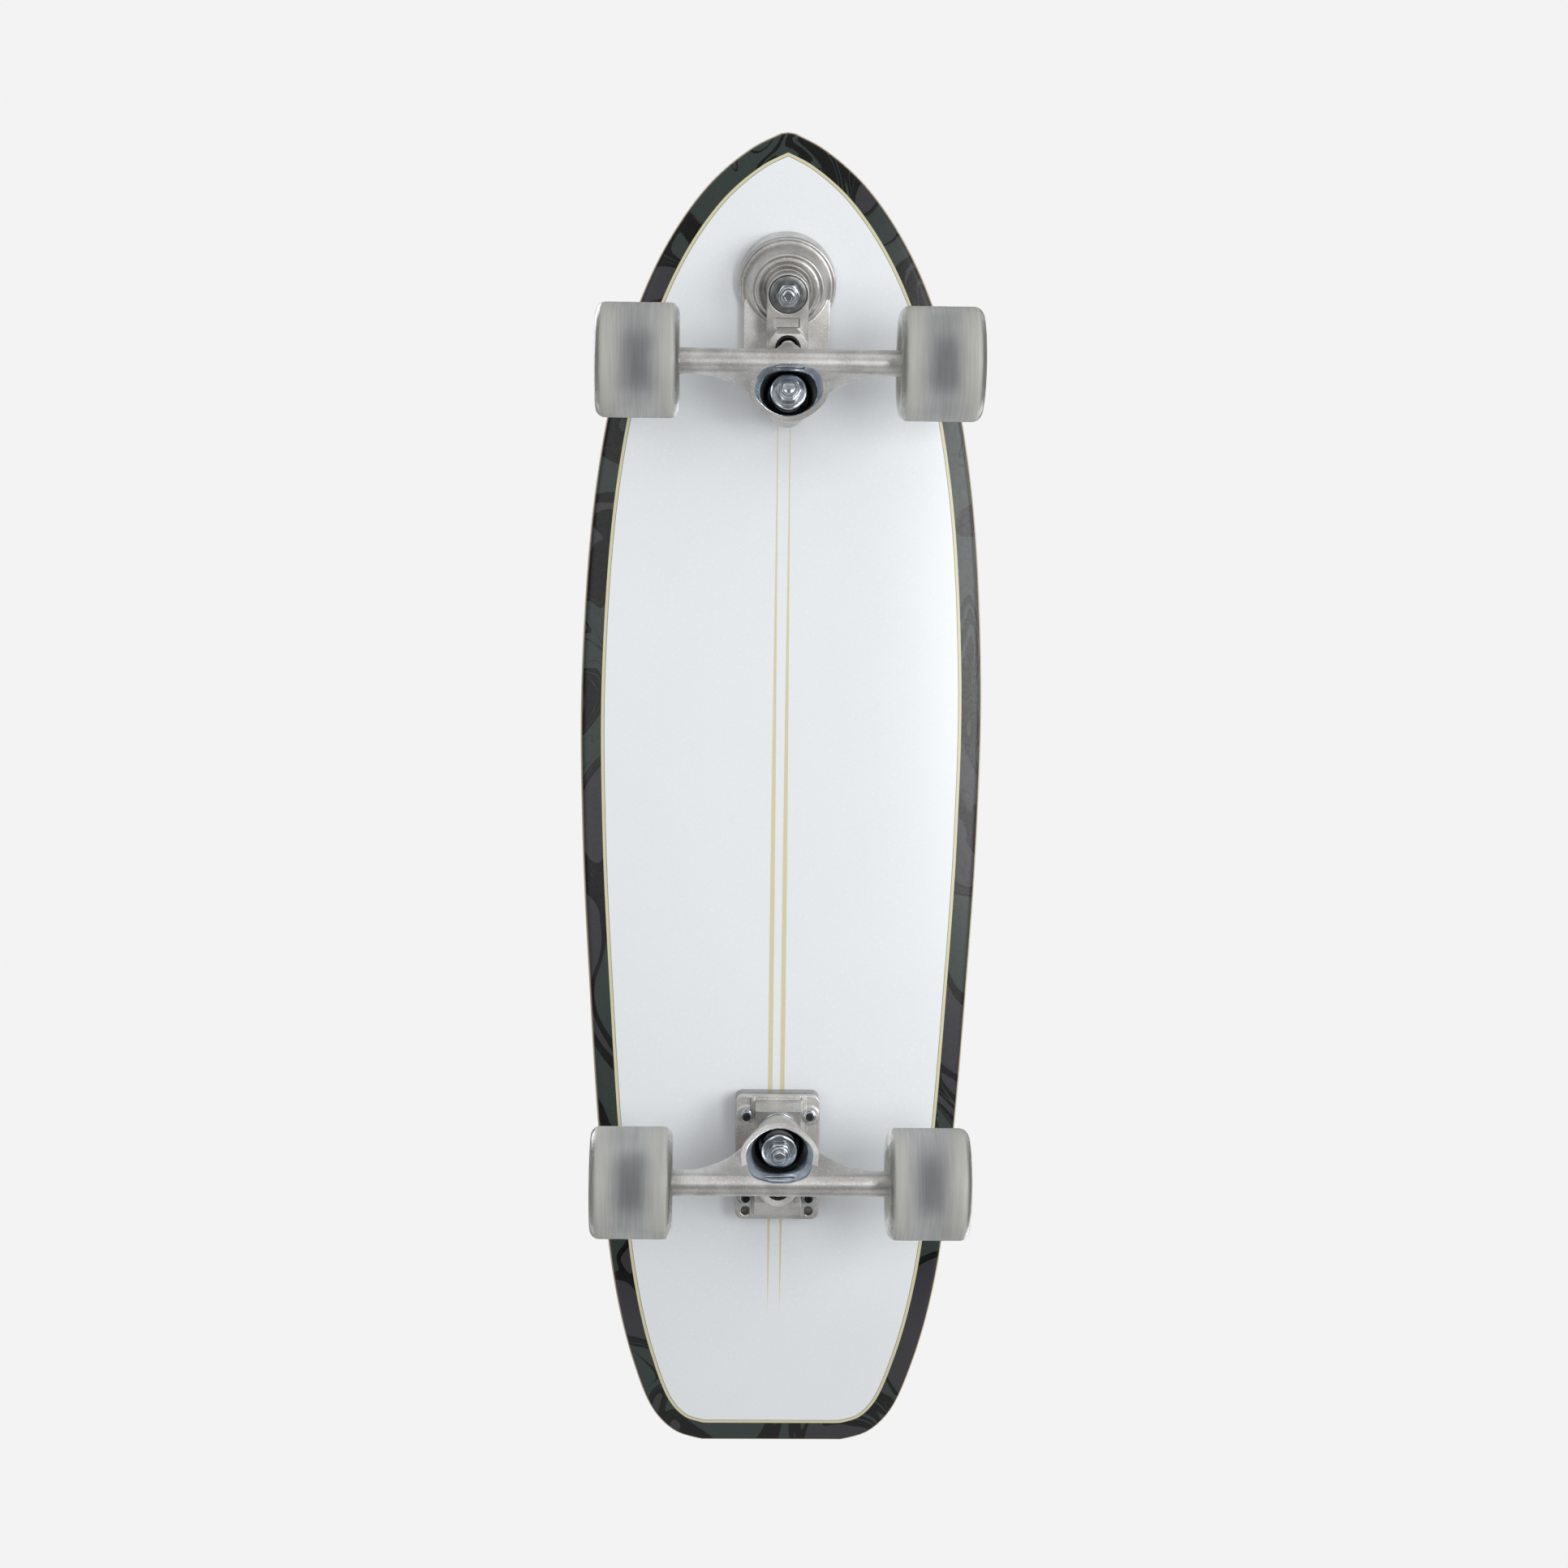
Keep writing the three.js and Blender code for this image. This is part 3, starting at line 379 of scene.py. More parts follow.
def bevelled(piece: Piece, width: float, segments: int = 2) -> Piece:
    """Rounds the hard edges of a piece.

    Args:
        piece: the mesh object.
        width: how wide the rounding is, in millimetres.
        segments: number of its steps.

    Returns:
        The piece.
    """
    step = piece.modifiers.new("bevel", "BEVEL")
    step.width = width * MM
    step.segments = segments
    step.limit_method = "ANGLE"
    step.angle_limit = math.radians(32)
    step.harden_normals = False
    evaluated(piece)
    return rounded_shading(piece, 40)


def moved(piece: Piece, matrix: Matrix) -> Piece:
    """Moves a piece's mesh and leaves its object at the origin.

    Args:
        piece: the mesh object.
        matrix: the frame it is set in, its place in millimetres.

    Returns:
        The piece.
    """
    placed = matrix.copy()
    placed.translation = placed.translation * MM
    piece.data.transform(placed)
    if placed.determinant() < 0:
        piece.data.flip_normals()
    piece.data.update()
    return piece


def copied(piece: Piece, name: str) -> Piece:
    """Copies a piece together with its mesh.

    Args:
        piece: the mesh object.
        name: the copy's name.

    Returns:
        The copy.
    """
    twin = piece.copy()
    twin.data = piece.data.copy()
    twin.name = name
    bpy.context.scene.collection.objects.link(twin)
    return twin


def vertex_places(mesh: bpy.types.Mesh) -> np.ndarray:
    """Reads where a mesh's vertices lie.

    Args:
        mesh: the mesh.

    Returns:
        One row of x, y, z in millimetres for each vertex.
    """
    places = np.empty(len(mesh.vertices) * 3)
    mesh.vertices.foreach_get("co", places)
    return places.reshape(-1, 3) / MM


def keep_fact(mesh: bpy.types.Mesh, name: str, values: np.ndarray) -> None:
    """Keeps one number for each vertex on a mesh, for its finish to read."""
    mesh.attributes.new(name, "FLOAT", "POINT").data.foreach_set("value", values)


def on_bolts(bar: Shell, rows: Sequence[float]) -> list[Shell]:
    """Sets copies of a bar on both sides of some rows of bolts.

    Args:
        bar: the shell, with its axis at the middle.
        rows: places of the rows along the truck.

    Returns:
        The copies.
    """
    half = LAYOUT.bolts_across / 2
    return [bar.moved(Matrix.Translation((side * half, row, 0))) for side in (-1, 1) for row in rows]


def eased(rows: Table, at: np.ndarray) -> np.ndarray:
    """Reads a table of growing first column along a smooth curve.

    Args:
        rows: the table.
        at: where it is read.

    Returns:
        One row of the other columns for each place.
    """
    table = np.array(rows, float)
    x, values = table[:, 0], table[:, 1:]
    slope = np.diff(values, axis=0) / np.diff(x)[:, None]
    tangent = np.zeros_like(values)
    before, after = slope[:-1], slope[1:]
    same = before * after > 0
    total = np.where(same, before + after, 1.0)
    tangent[1:-1] = np.where(same, 2 * before * after / total, 0.0)
    i = np.clip(np.searchsorted(x, at, side="right") - 1, 0, len(x) - 2)
    step = (x[i + 1] - x[i])[:, None]
    t = ((at - x[i]) / (x[i + 1] - x[i]))[:, None]
    return (
        values[i] * (2 * t**3 - 3 * t**2 + 1)
        + values[i + 1] * (3 * t**2 - 2 * t**3)
        + tangent[i] * step * (t**3 - 2 * t**2 + t)
        + tangent[i + 1] * step * (t**3 - t**2)
    )


def leaning(y: float, z: float, lean: float) -> Matrix:
    """Frame on the middle plane whose Z leans from straight down.

    Args:
        y: place along the truck.
        z: place over the ground.
        lean: degrees, positive where the road end goes outboard.

    Returns:
        The frame.
    """
    angle = math.radians(lean)
    along = Vector((0, math.sin(angle), -math.cos(angle)))
    across = Vector((1, 0, 0))
    frame = Matrix((across, along.cross(across), along)).transposed().to_4x4()
    frame.translation = Vector((0, y, z))
    return frame


def across_frame(z: float) -> Matrix:
    """Frame whose Z runs across the board.

    Args:
        z: its height over the ground.

    Returns:
        The frame.
    """
    frame = Matrix.Rotation(math.pi / 2, 4, "Y")
    frame.translation = Vector((0, 0, z))
    return frame


def rounded_box(left: float, right: float, low: float, high: float, radius: float) -> list[Point]:
    """Draws a rectangle with round corners.

    Args:
        left: its least x.
        right: its greatest x.
        low: its least y.
        high: its greatest y.
        radius: of its corners.

    Returns:
        Its outline.
    """
    corners = [
        (right - radius, high - radius, 0),
        (left + radius, high - radius, 90),
        (left + radius, low + radius, 180),
        (right - radius, low + radius, 270),
    ]
    line: list[Point] = []
    for x, y, start in corners:
        for i in range(CORNER_STEPS + 1):
            angle = math.radians(start + 90 * i / CORNER_STEPS)
            line.append((x + radius * math.cos(angle), y + radius * math.sin(angle)))
    return line


def threaded(radius: float, low: float, high: float, pitch: float) -> list[Point]:
    """Draws a screw's flank, as rings one pitch apart.

    Args:
        radius: over the crests.
        low: where the thread starts.
        high: where it ends.
        pitch: from crest to crest.

    Returns:
        The flank's profile.
    """
    crests = max(1, int(abs(high - low) / pitch))
    step = (high - low) / crests
    root = radius - 0.3 * pitch
    line: list[Point] = []
    for i in range(crests):
        line.append((root, low + step * i))
        line.append((radius, low + step * (i + 0.4)))
        line.append((radius, low + step * (i + 0.6)))
    line.append((root, high))
    return line


# Finishes


class Wiring:
    """Node tree with short calls that add nodes and link them."""

    def __init__(self, tree: bpy.types.NodeTree) -> None:
        """Starts on a tree."""
        self.tree = tree

    def add(self, kind: str, props: dict | None = None, **inputs: object) -> bpy.types.Node:
        """Adds a node.

        Args:
            kind: the node's type.
            props: its properties.
            inputs: values or sockets for its inputs, with spaces as underscores.

        Returns:
            The node.
        """
        node = self.tree.nodes.new(kind)
        for key, value in (props or {}).items():
            setattr(node, key, value)
        for key, value in inputs.items():
            self.feed(node.inputs[key.replace("_", " ")], value)
        return node

    def feed(self, socket: Socket, value: object) -> None:
        """Sets a socket to a value, or links another socket to it.

        Args:
            socket: the input that is fed.
            value: a number, colour, vector or output socket.
        """
        if isinstance(value, Socket):
            self.tree.links.new(value, socket)
        elif isinstance(value, tuple) and len(value) == 3 and socket.type == "RGBA":
            socket.default_value = (*value, 1.0)
        else:
            socket.default_value = value

    def sum(self, kind: str, a: object, b: object = 0.0, c: object = 0.0) -> Socket:
        """Works out a sum, product or other calculation.

        Args:
            kind: the operation.
            a: first number.
            b: second number, where the operation has one.
            c: third number, where the operation has one.

        Returns:
            The result's socket.
        """
        node = self.add("ShaderNodeMath", {"operation": kind})
        for socket, value in zip(node.inputs, (a, b, c)):
            self.feed(socket, value)
        return node.outputs[0]

    def between(self, share: object, a: object, b: object) -> Socket:
        """Mixes two numbers.

        Args:
            share: how much of the second there is.
            a: first number.
            b: second number.

        Returns:
            The mix's socket.
        """
        node = self.add("ShaderNodeMix")
        for index, value in ((0, share), (2, a), (3, b)):
            self.feed(node.inputs[index], value)
        return node.outputs[0]


class Paint(Wiring):
    """Node tree of one material, with short calls for what the finishes share."""

    def __init__(self, name: str) -> None:
        """Starts a material with its shader and its object coordinates.

        Args:
            name: the material's name.
        """
        self.material = bpy.data.materials.new(name)
        self.material.use_nodes = True
        super().__init__(self.material.node_tree)
        self.shader = self.tree.nodes["Principled BSDF"]
        self.place = self.add("ShaderNodeTexCoord").outputs["Object"]

    def blend(self, share: object, a: object, b: object) -> Socket:
        """Mixes two colours.

        Args:
            share: how much of the second there is.
            a: first colour.
            b: second colour.

        Returns:
            The mix's socket.
        """
        node = self.add("ShaderNodeMix", {"data_type": "RGBA"})
        for index, value in ((0, share), (6, a), (7, b)):
            self.feed(node.inputs[index], value)
        return node.outputs[2]

    def step(self, value: object, low: float, high: float) -> Socket:
        """Makes a number that rises smoothly from 0 to 1.

        Args:
            value: the number that is read.
            low: where the rise starts.
            high: where it ends, which may be below its start.

        Returns:
            The result's socket.
        """
        node = self.add("ShaderNodeMapRange", {"interpolation_type": "SMOOTHSTEP"})
        for name, given in (("Value", value), ("From Min", low), ("From Max", high)):
            self.feed(node.inputs[name], given)
        return node.outputs[0]

    def stretched(self, scale: Place) -> Socket:
        """Stretches the coordinates.

        Args:
            scale: how much they are scaled along each direction.

        Returns:
            The coordinates' socket.
        """
        node = self.add("ShaderNodeMapping", {"vector_type": "POINT"}, Vector=self.place)
        node.inputs["Scale"].default_value = scale
        return node.outputs[0]

    def noise(
        self, scale: float, detail: float = 2.0, place: object = None, **more: object
    ) -> Socket:
        """Makes soft noise.

        Args:
            scale: patches per metre.
            detail: number of finer layers.
            place: the coordinates, or None for the object's own.
            more: other inputs of the noise.

        Returns:
            The noise's socket.
        """
        node = self.add("ShaderNodeTexNoise", None, Scale=scale, Detail=detail, **more)
        self.feed(node.inputs["Vector"], place or self.place)
        return node.outputs["Fac"]

    def cells(self, scale: float) -> bpy.types.Node:
        """Returns a node of scattered cells, of a scale per metre."""
        return self.add("ShaderNodeTexVoronoi", None, Scale=scale, Vector=self.place)

    def bump(self, height: object, strength: float, depth: float) -> Socket:
        """Raises the skin by a height.

        Args:
            height: the socket of the height.
            strength: how much of it is used.
            depth: how deep it is, in millimetres.

        Returns:
            The normal's socket.
        """
        node = self.add("ShaderNodeBump", None, Strength=strength, Distance=depth * MM, Height=height)
        return node.outputs[0]

    def fact(self, name: str) -> Socket:
        """Returns a number kept on the mesh."""
        return self.add("ShaderNodeAttribute", {"attribute_name": name}).outputs["Fac"]

    def axes(self) -> bpy.types.Node:
        """Returns the object coordinates split into their three numbers."""
        return self.add("ShaderNodeSeparateXYZ", None, Vector=self.place)

    def done(self, **inputs: object) -> Material:
        """Finishes the material.

        Args:
            inputs: values or sockets for the shader's inputs, with spaces as underscores.

        Returns:
            The material.
        """
        for key, value in inputs.items():
            self.feed(self.shader.inputs[key.replace("_", " ")], value)
        return self.material


@dataclass(frozen=True)
class Finish:
    """A finish that is made once and shared by its pieces."""

    name: str

    def material(self) -> Material:
        """Returns the finish's material, which is made at the first call."""
        found = bpy.data.materials.get(self.name)
        return found if found else self.mixed(Paint(self.name))

    def mixed(self, paint: Paint) -> Material:
        """Mixes the material.

        Args:
            paint: its empty node tree.

        Returns:
            The material.
        """
        raise NotImplementedError


@dataclass(frozen=True)
class Casting(Finish):
    """Satin cast metal with a fine sparkling skin, a machined bowl wall whose tone carries a painted bluish
    reflection, and painted shade deep in the bowl.
    """

    name: str = "satin_casting"
    colour: Colour = (0.66, 0.65, 0.63)
    dark: Colour = (0.50, 0.49, 0.475)
    # machined bowl wall tone, with a painted bluish reflection mixed in
    turned: Colour = (0.55, 0.59, 0.64)
    roughness: float = 0.37

    def mixed(self, paint: Paint) -> Material:
        """Mixes the material.

        Args:
            paint: its empty node tree.

        Returns:
            The material.
        """
        cloud = paint.noise(60, 4)
        grain = paint.noise(1500, 3)
        fleck = paint.cells(1700)
        colour = paint.blend(paint.step(cloud, 0.35, 0.65), self.dark, self.colour)
        speck = paint.step(fleck.outputs["Color"], 0.3, 0.0)
        colour = paint.blend(paint.sum("MULTIPLY", speck, 0.4), colour, (0.2, 0.195, 0.19))
        bright = paint.step(fleck.outputs["Color"], 0.78, 0.95)
        colour = paint.blend(paint.sum("MULTIPLY", bright, 0.6), colour, (0.94, 0.94, 0.93))
        machined_and_shade_depth = paint.fact("machined_and_shade_depth")
        inside = paint.step(machined_and_shade_depth, 0.02, 0.2)
        # the bowl wall gets its machined tone, which also paints a bluish reflection
        colour = paint.blend(inside, colour, self.turned)
        # painted shade and painted dark reflection: near-black deep in the bowl, round the washer and bushing
        colour = paint.blend(paint.step(machined_and_shade_depth, 0.45, 0.95), colour, (0.02, 0.021, 0.024))
        rough = paint.sum("MULTIPLY_ADD", grain, 0.22, self.roughness - 0.08)
        rough = paint.sum("MULTIPLY_ADD", inside, -0.2, rough)
        normal = paint.bump(grain, 0.6, 0.16)
        return paint.done(Base_Color=colour, Metallic=1.0, Roughness=rough, Normal=normal)


@dataclass(frozen=True)
class Plated(Finish):
    """Bright plated steel, brushed round and a little blue."""

    name: str = "bright_zinc"
    colour: Colour = (0.66, 0.70, 0.74)
    dark: Colour = (0.5, 0.54, 0.58)
    roughness: float = 0.18

    def mixed(self, paint: Paint) -> Material:
        """Mixes the material.

        Args:
            paint: its empty node tree.

        Returns:
            The material.
        """
        cloud = paint.noise(220, 4)
        scratch = paint.noise(400, 2, paint.stretched((1, 1, 12)))
        colour = paint.blend(paint.step(cloud, 0.3, 0.7), self.dark, self.colour)
        rough = paint.sum("MULTIPLY_ADD", scratch, 0.16, self.roughness - 0.08)
        normal = paint.bump(scratch, 0.1, 0.02)
        return paint.done(Base_Color=colour, Metallic=1.0, Roughness=rough, Normal=normal)


@dataclass(frozen=True)
class BlackOxide(Finish):
    """Black screws with worn, glossy domes."""

    name: str = "black_oxide"

    def mixed(self, paint: Paint) -> Material:
        """Mixes the material.

        Args:
            paint: its empty node tree.

        Returns:
            The material.
        """
        cloud = paint.noise(500, 3)
        colour = paint.blend(cloud, (0.003, 0.003, 0.0035), (0.011, 0.011, 0.012))
        rough = paint.sum("MULTIPLY_ADD", cloud, 0.16, 0.1)
        normal = paint.bump(cloud, 0.1, 0.03)
        return paint.done(Base_Color=colour, Roughness=rough, Normal=normal, Specular_IOR_Level=0.4)


@dataclass(frozen=True)
class Tread(Finish):
    """Smoky see-through urethane: frosted with fine turned lines on the tread, clear on the lips."""

    name: str = "frosted_tread"
    colour: Colour = (0.84, 0.85, 0.86)
    pale: Colour = (0.62, 0.62, 0.57)
    glass: Colour = (0.95, 0.96, 0.93)

    def mixed(self, paint: Paint) -> Material:
        """Mixes the material.

        Args:
            paint: its empty node tree.

        Returns:
            The material.
        """
        lines = paint.noise(900, 3, paint.stretched((1, 0.03, 0.03)))
        cloud = paint.noise(45, 3)
        away = paint.sum("SUBTRACT", paint.fact("from_middle"), 0.1)
        edge = paint.sum("MULTIPLY_ADD", cloud, 0.2, away)
        milky = paint.step(edge, 0.1, 0.85)
        colour = paint.blend(milky, self.colour, self.pale)
        grey = paint.sum("MULTIPLY", paint.step(lines, 0.35, 0.65), 0.36)
        colour = paint.blend(grey, colour, (0.42, 0.43, 0.43))
        colour = paint.blend(paint.fact("lip"), colour, self.glass)
        frosted = paint.sum("SUBTRACT", 1.0, paint.fact("lip"))
        dull = paint.sum("MULTIPLY", frosted, paint.sum("MULTIPLY_ADD", milky, 0.5, 0.12))
        turned = paint.sum("MULTIPLY_ADD", lines, 0.3, 0.32)
        rough = paint.sum("MULTIPLY_ADD", turned, frosted, 0.12)
        normal = paint.bump(paint.sum("MULTIPLY", lines, frosted), 0.3, 0.05)
        return paint.done(
            Base_Color=colour,
            Roughness=rough,
            Normal=normal,
            IOR=1.4,
            Transmission_Weight=paint.sum("SUBTRACT", 1.0, dull),
        )


@dataclass(frozen=True)
class PouredPad(Finish):
    """Smoky see-through urethane with a satin moulded skin."""

    name: str = "smoke_pad"

    def mixed(self, paint: Paint) -> Material:
        """Mixes the material.

        Args:
            paint: its empty node tree.

        Returns:
            The material.
        """
        cloud = paint.noise(60, 3)
        skin = paint.noise(700, 2)
        colour = paint.blend(paint.step(cloud, 0.3, 0.7), (0.58, 0.58, 0.57), (0.68, 0.68, 0.66))
        rough = paint.sum("MULTIPLY_ADD", skin, 0.2, 0.1)
        normal = paint.bump(skin, 0.12, 0.04)
        return paint.done(
            Base_Color=colour, Roughness=rough, Normal=normal, IOR=1.35, Transmission_Weight=0.7
        )


@dataclass(frozen=True)
class ClearRubber(Finish):
    """Milky see-through bushing urethane."""

    name: str = "milky_urethane"

    def mixed(self, paint: Paint) -> Material:
        """Mixes the material.

        Args:
            paint: its empty node tree.

        Returns:
            The material.
        """
        cloud = paint.noise(120, 3)
        colour = paint.blend(cloud, (0.7, 0.71, 0.7), (0.82, 0.82, 0.79))
        rough = paint.sum("MULTIPLY_ADD", cloud, 0.2, 0.25)
        normal = paint.bump(paint.noise(500, 2), 0.1, 0.05)
        return paint.done(
            Base_Color=colour,
            Roughness=rough,
            Normal=normal,
            IOR=1.45,
            Transmission_Weight=0.35,
            Subsurface_Weight=0.3,
            Subsurface_Scale=0.006,
        )


@dataclass(frozen=True)
class Moulded(Finish):
    """Moulded plastic or rubber with a fine grain."""

    name: str = "moulded_core"
    colour: Colour = (0.018, 0.028, 0.06)
    light: Colour = (0.035, 0.05, 0.095)
    roughness: float = 0.42

    def mixed(self, paint: Paint) -> Material:
        """Mixes the material.

        Args:
            paint: its empty node tree.

        Returns:
            The material.
        """
        cloud = paint.noise(150, 3)
        grain = paint.noise(1600, 2)
        colour = paint.blend(cloud, self.colour, self.light)
        rough = paint.sum("MULTIPLY_ADD", grain, 0.2, self.roughness - 0.1)
        return paint.done(Base_Color=colour, Roughness=rough, Normal=paint.bump(grain, 0.2, 0.04))


class Marble:
    """Hard-edged marbling of our own, shared by the rail band and the grip."""

    @staticmethod
    def field(paint: Paint, scale: float, push: float) -> Socket:
        """Returns a slow field that swirls.

        Args:
            paint: the material under way.
            scale: patches per metre.
            push: how far the swirl drags the field, in metres.

        Returns:
            The field's socket.
        """
        flow = paint.stretched((1.0, 0.62, 0.0))
        swirl = paint.add("ShaderNodeTexNoise", None, Vector=flow, Scale=scale * 0.8, Detail=1.0)
        pushed = paint.add("ShaderNodeVectorMath", {"operation": "MULTIPLY_ADD"})
        paint.feed(pushed.inputs[0], swirl.outputs["Color"])
        pushed.inputs[1].default_value = (push, push, 0.0)
        paint.feed(pushed.inputs[2], flow)
        return paint.noise(scale, 1.0, pushed.outputs[0], Distortion=1.4)

    @staticmethod
    def mask(
        paint: Paint, field: Socket, cover: float, ragged: float
    ) -> Socket:
        """Returns 1 inside the patches and on the threads drawn along their edges.

        Args:
            paint: the material under way.
            field: the swirling field.
            cover: height that the patches are cut at, lower for more of them.
            ragged: how rough their edges are.

        Returns:
            The mask's socket.
        """
        edge = paint.noise(900, 2)
        height = paint.sum("MULTIPLY_ADD", edge, ragged, field)
        body = paint.step(height, cover, cover + 0.004)
        taper = paint.noise(15, 2)
        threads = []
        for offset, width in ((0.026, 0.0075), (0.055, 0.005), (-0.05, 0.0045)):
            wide = paint.sum("MULTIPLY", paint.step(taper, 0.42, 0.68), width)
            off = paint.sum("ABSOLUTE", paint.sum("SUBTRACT", height, cover - offset))
            threads.append(paint.step(paint.sum("SUBTRACT", wide, off), 0.0, 0.0012))
        outer = paint.sum("MAXIMUM", paint.sum("MAXIMUM", body, threads[0]), threads[1])
        return paint.sum("SUBTRACT", outer, threads[2])


@dataclass(frozen=True)
class PrintedBottom(Finish):
    """White printed underside with a marbled rail band, a pinline and two stringers."""

    name: str = "printed_bottom"
    band: float = 13.4
    pinline: float = 1.9
    white: Colour = (0.80, 0.825, 0.85)

    def stringer(self, paint: Paint, x: object, y: object, at: float) -> Socket:
        """Returns 1 on one tapering stringer.

        Args:
            paint: the material under way.
            x: place across the board, in metres.
            y: place along the board, in metres.
            at: the stringer's middle, in millimetres.

        Returns:
            The mask's socket.
        """
        front = paint.step(y, -0.300, 0.08)
        back = paint.step(y, 0.355, 0.19)
        wide = paint.sum("MULTIPLY", front, back)
        half = paint.sum("MULTIPLY_ADD", wide, 1.3 * MM, 0.28 * MM)
        off = paint.sum("ABSOLUTE", paint.sum("SUBTRACT", x, at * MM))
        line = paint.step(paint.sum("SUBTRACT", half, off), 0.0, 0.15 * MM)
        ends = paint.sum("MULTIPLY", paint.step(y, -0.262, -0.256), paint.step(y, 0.348, 0.312))
        return paint.sum("MULTIPLY", line, ends)

    def mixed(self, paint: Paint) -> Material:
        """Mixes the material.

        Args:
            paint: its empty node tree.

        Returns:
            The material.
        """
        axes = paint.axes()
        x, y = axes.outputs["X"], axes.outputs["Y"]
        edge = paint.fact("from_edge")
        cloud = paint.noise(14, 4)
        colour = paint.blend(cloud, (0.765, 0.795, 0.825), self.white)
        for at in (-4.7, 3.3):
            line = self.stringer(paint, x, y, at)
            colour = paint.blend(line, colour, (0.66, 0.60, 0.40))
        inner = self.band + self.pinline
        colour = paint.blend(paint.step(edge, inner + 0.5, inner + 0.2), colour, (0.2, 0.19, 0.14))
        colour = paint.blend(paint.step(edge, inner + 0.1, inner - 0.2), colour, (0.63, 0.59, 0.39))
        band = paint.step(edge, self.band + 0.1, self.band - 0.1)
        colour = paint.blend(band, colour, self.rail(paint))
        skin = paint.noise(420, 3)
        rough = paint.sum("MULTIPLY_ADD", skin, 0.12, 0.2)
        normal = paint.bump(skin, 0.06, 0.04)
        return paint.done(Base_Color=colour, Roughness=rough, Normal=normal, Specular_IOR_Level=0.36)

    def rail(self, paint: Paint) -> Socket:
        """Mixes the colour of the marbled rail band.

        Args:
            paint: the material under way.

        Returns:
            The colour's socket.
        """
        field = Marble.field(paint, 13.0, 0.12)
        green = Marble.mask(paint, field, 0.53, 0.006)
        plum = paint.step(paint.sum("SUBTRACT", 1.0, field), 0.57, 0.574)
        black = paint.blend(plum, (0.001, 0.0013, 0.0013), (0.034, 0.032, 0.038))
        return paint.blend(green, black, (0.028, 0.04, 0.037))


@dataclass(frozen=True)
class PlyEdge(Finish):
    """Sanded ply seen on the rail, layer by layer."""

    name: str = "ply_edge"
    layers: int = 7

    def mixed(self, paint: Paint) -> Material:
        """Mixes the material.

        Args:
            paint: its empty node tree.

        Returns:
            The material.
        """
        level = paint.sum("MULTIPLY", paint.fact("level"), float(self.layers))
        odd = paint.sum("PINGPONG", level, 1.0)
        grain = paint.noise(260, 4, paint.stretched((1, 0.1, 1)))
        light = paint.blend(grain, (0.50, 0.42, 0.31), (0.66, 0.58, 0.46))
        dark = paint.blend(grain, (0.36, 0.28, 0.19), (0.50, 0.41, 0.30))
        colour = paint.blend(paint.step(odd, 0.42, 0.58), dark, light)
        seam = paint.sum("ABSOLUTE", paint.sum("SUBTRACT", odd, 0.5))
        colour = paint.blend(paint.step(seam, 0.09, 0.02), colour, (0.2, 0.15, 0.1))
        rough = paint.sum("MULTIPLY_ADD", grain, 0.2, 0.42)
        return paint.done(Base_Color=colour, Roughness=rough, Normal=paint.bump(grain, 0.2, 0.08))


@dataclass(frozen=True)
class StainedTop(Finish):
    """Top veneer stained black, with fine grain along the board."""

    name: str = "stained_top"

    def mixed(self, paint: Paint) -> Material:
        """Mixes the material.

        Args:
            paint: its empty node tree.

        Returns:
            The material.
        """
        grain = paint.noise(420, 5, paint.stretched((1, 0.03, 1)))
        cloud = paint.noise(26, 3, paint.stretched((1, 0.4, 1)))
        vein = paint.step(grain, 0.35, 0.7)
        colour = paint.blend(vein, (0.003, 0.003, 0.0045), (0.014, 0.014, 0.019))
        colour = paint.blend(paint.sum("MULTIPLY", cloud, 0.35), colour, (0.013, 0.013, 0.019))
        rough = paint.sum("MULTIPLY_ADD", cloud, 0.25, 0.28)
        normal = paint.bump(grain, 0.25, 0.08)
        return paint.done(Base_Color=colour, Roughness=rough, Normal=normal, Specular_IOR_Level=0.3)


@dataclass(frozen=True)
class GritPaper(Finish):
    """Charcoal grip paper with pale sparkles and grey-green marbling."""

    name: str = "grit_paper"

    def mixed(self, paint: Paint) -> Material:
        """Mixes the material.

        Args:
            paint: its empty node tree.

        Returns:
            The material.
        """
        grit = paint.cells(1500)
        fine = paint.noise(2600, 2)
        spark = paint.step(grit.outputs["Color"], 0.80, 0.93)
        base = paint.blend(fine, (0.010, 0.011, 0.014), (0.032, 0.034, 0.04))
        base = paint.blend(paint.sum("MULTIPLY", spark, 0.5), base, (0.13, 0.135, 0.15))
        pale = paint.blend(fine, (0.085, 0.102, 0.093), (0.145, 0.168, 0.155))
        mark = Marble.mask(paint, Marble.field(paint, 6.5, 0.2), 0.478, 0.014)
        colour = paint.blend(mark, base, pale)
        height = paint.sum("ADD", grit.outputs["Distance"], fine)
        normal = paint.bump(height, 0.7, 0.25)
        rough = paint.sum("MULTIPLY_ADD", fine, 0.2, 0.72)
        return paint.done(Base_Color=colour, Roughness=rough, Normal=normal)


CASTING = Casting()
ZINC = Plated()
DULL_STEEL = Plated("dull_washer_steel", (0.33, 0.34, 0.35), (0.2, 0.205, 0.21), 0.34)
BEARING_STEEL = Plated("bearing_shield", (0.55, 0.56, 0.58), (0.4, 0.41, 0.43), 0.3)
SPRING_STEEL = Plated("oiled_spring_wire", (0.3, 0.31, 0.33), (0.2, 0.2, 0.22), 0.35)
BLACK_STEEL = BlackOxide()
TREAD = Tread()
PAD = PouredPad()
BUSHING = ClearRubber()
CORE = Moulded()
RUBBER = Moulded("pivot_rubber", (0.006, 0.006, 0.006), (0.02, 0.02, 0.02), 0.6)


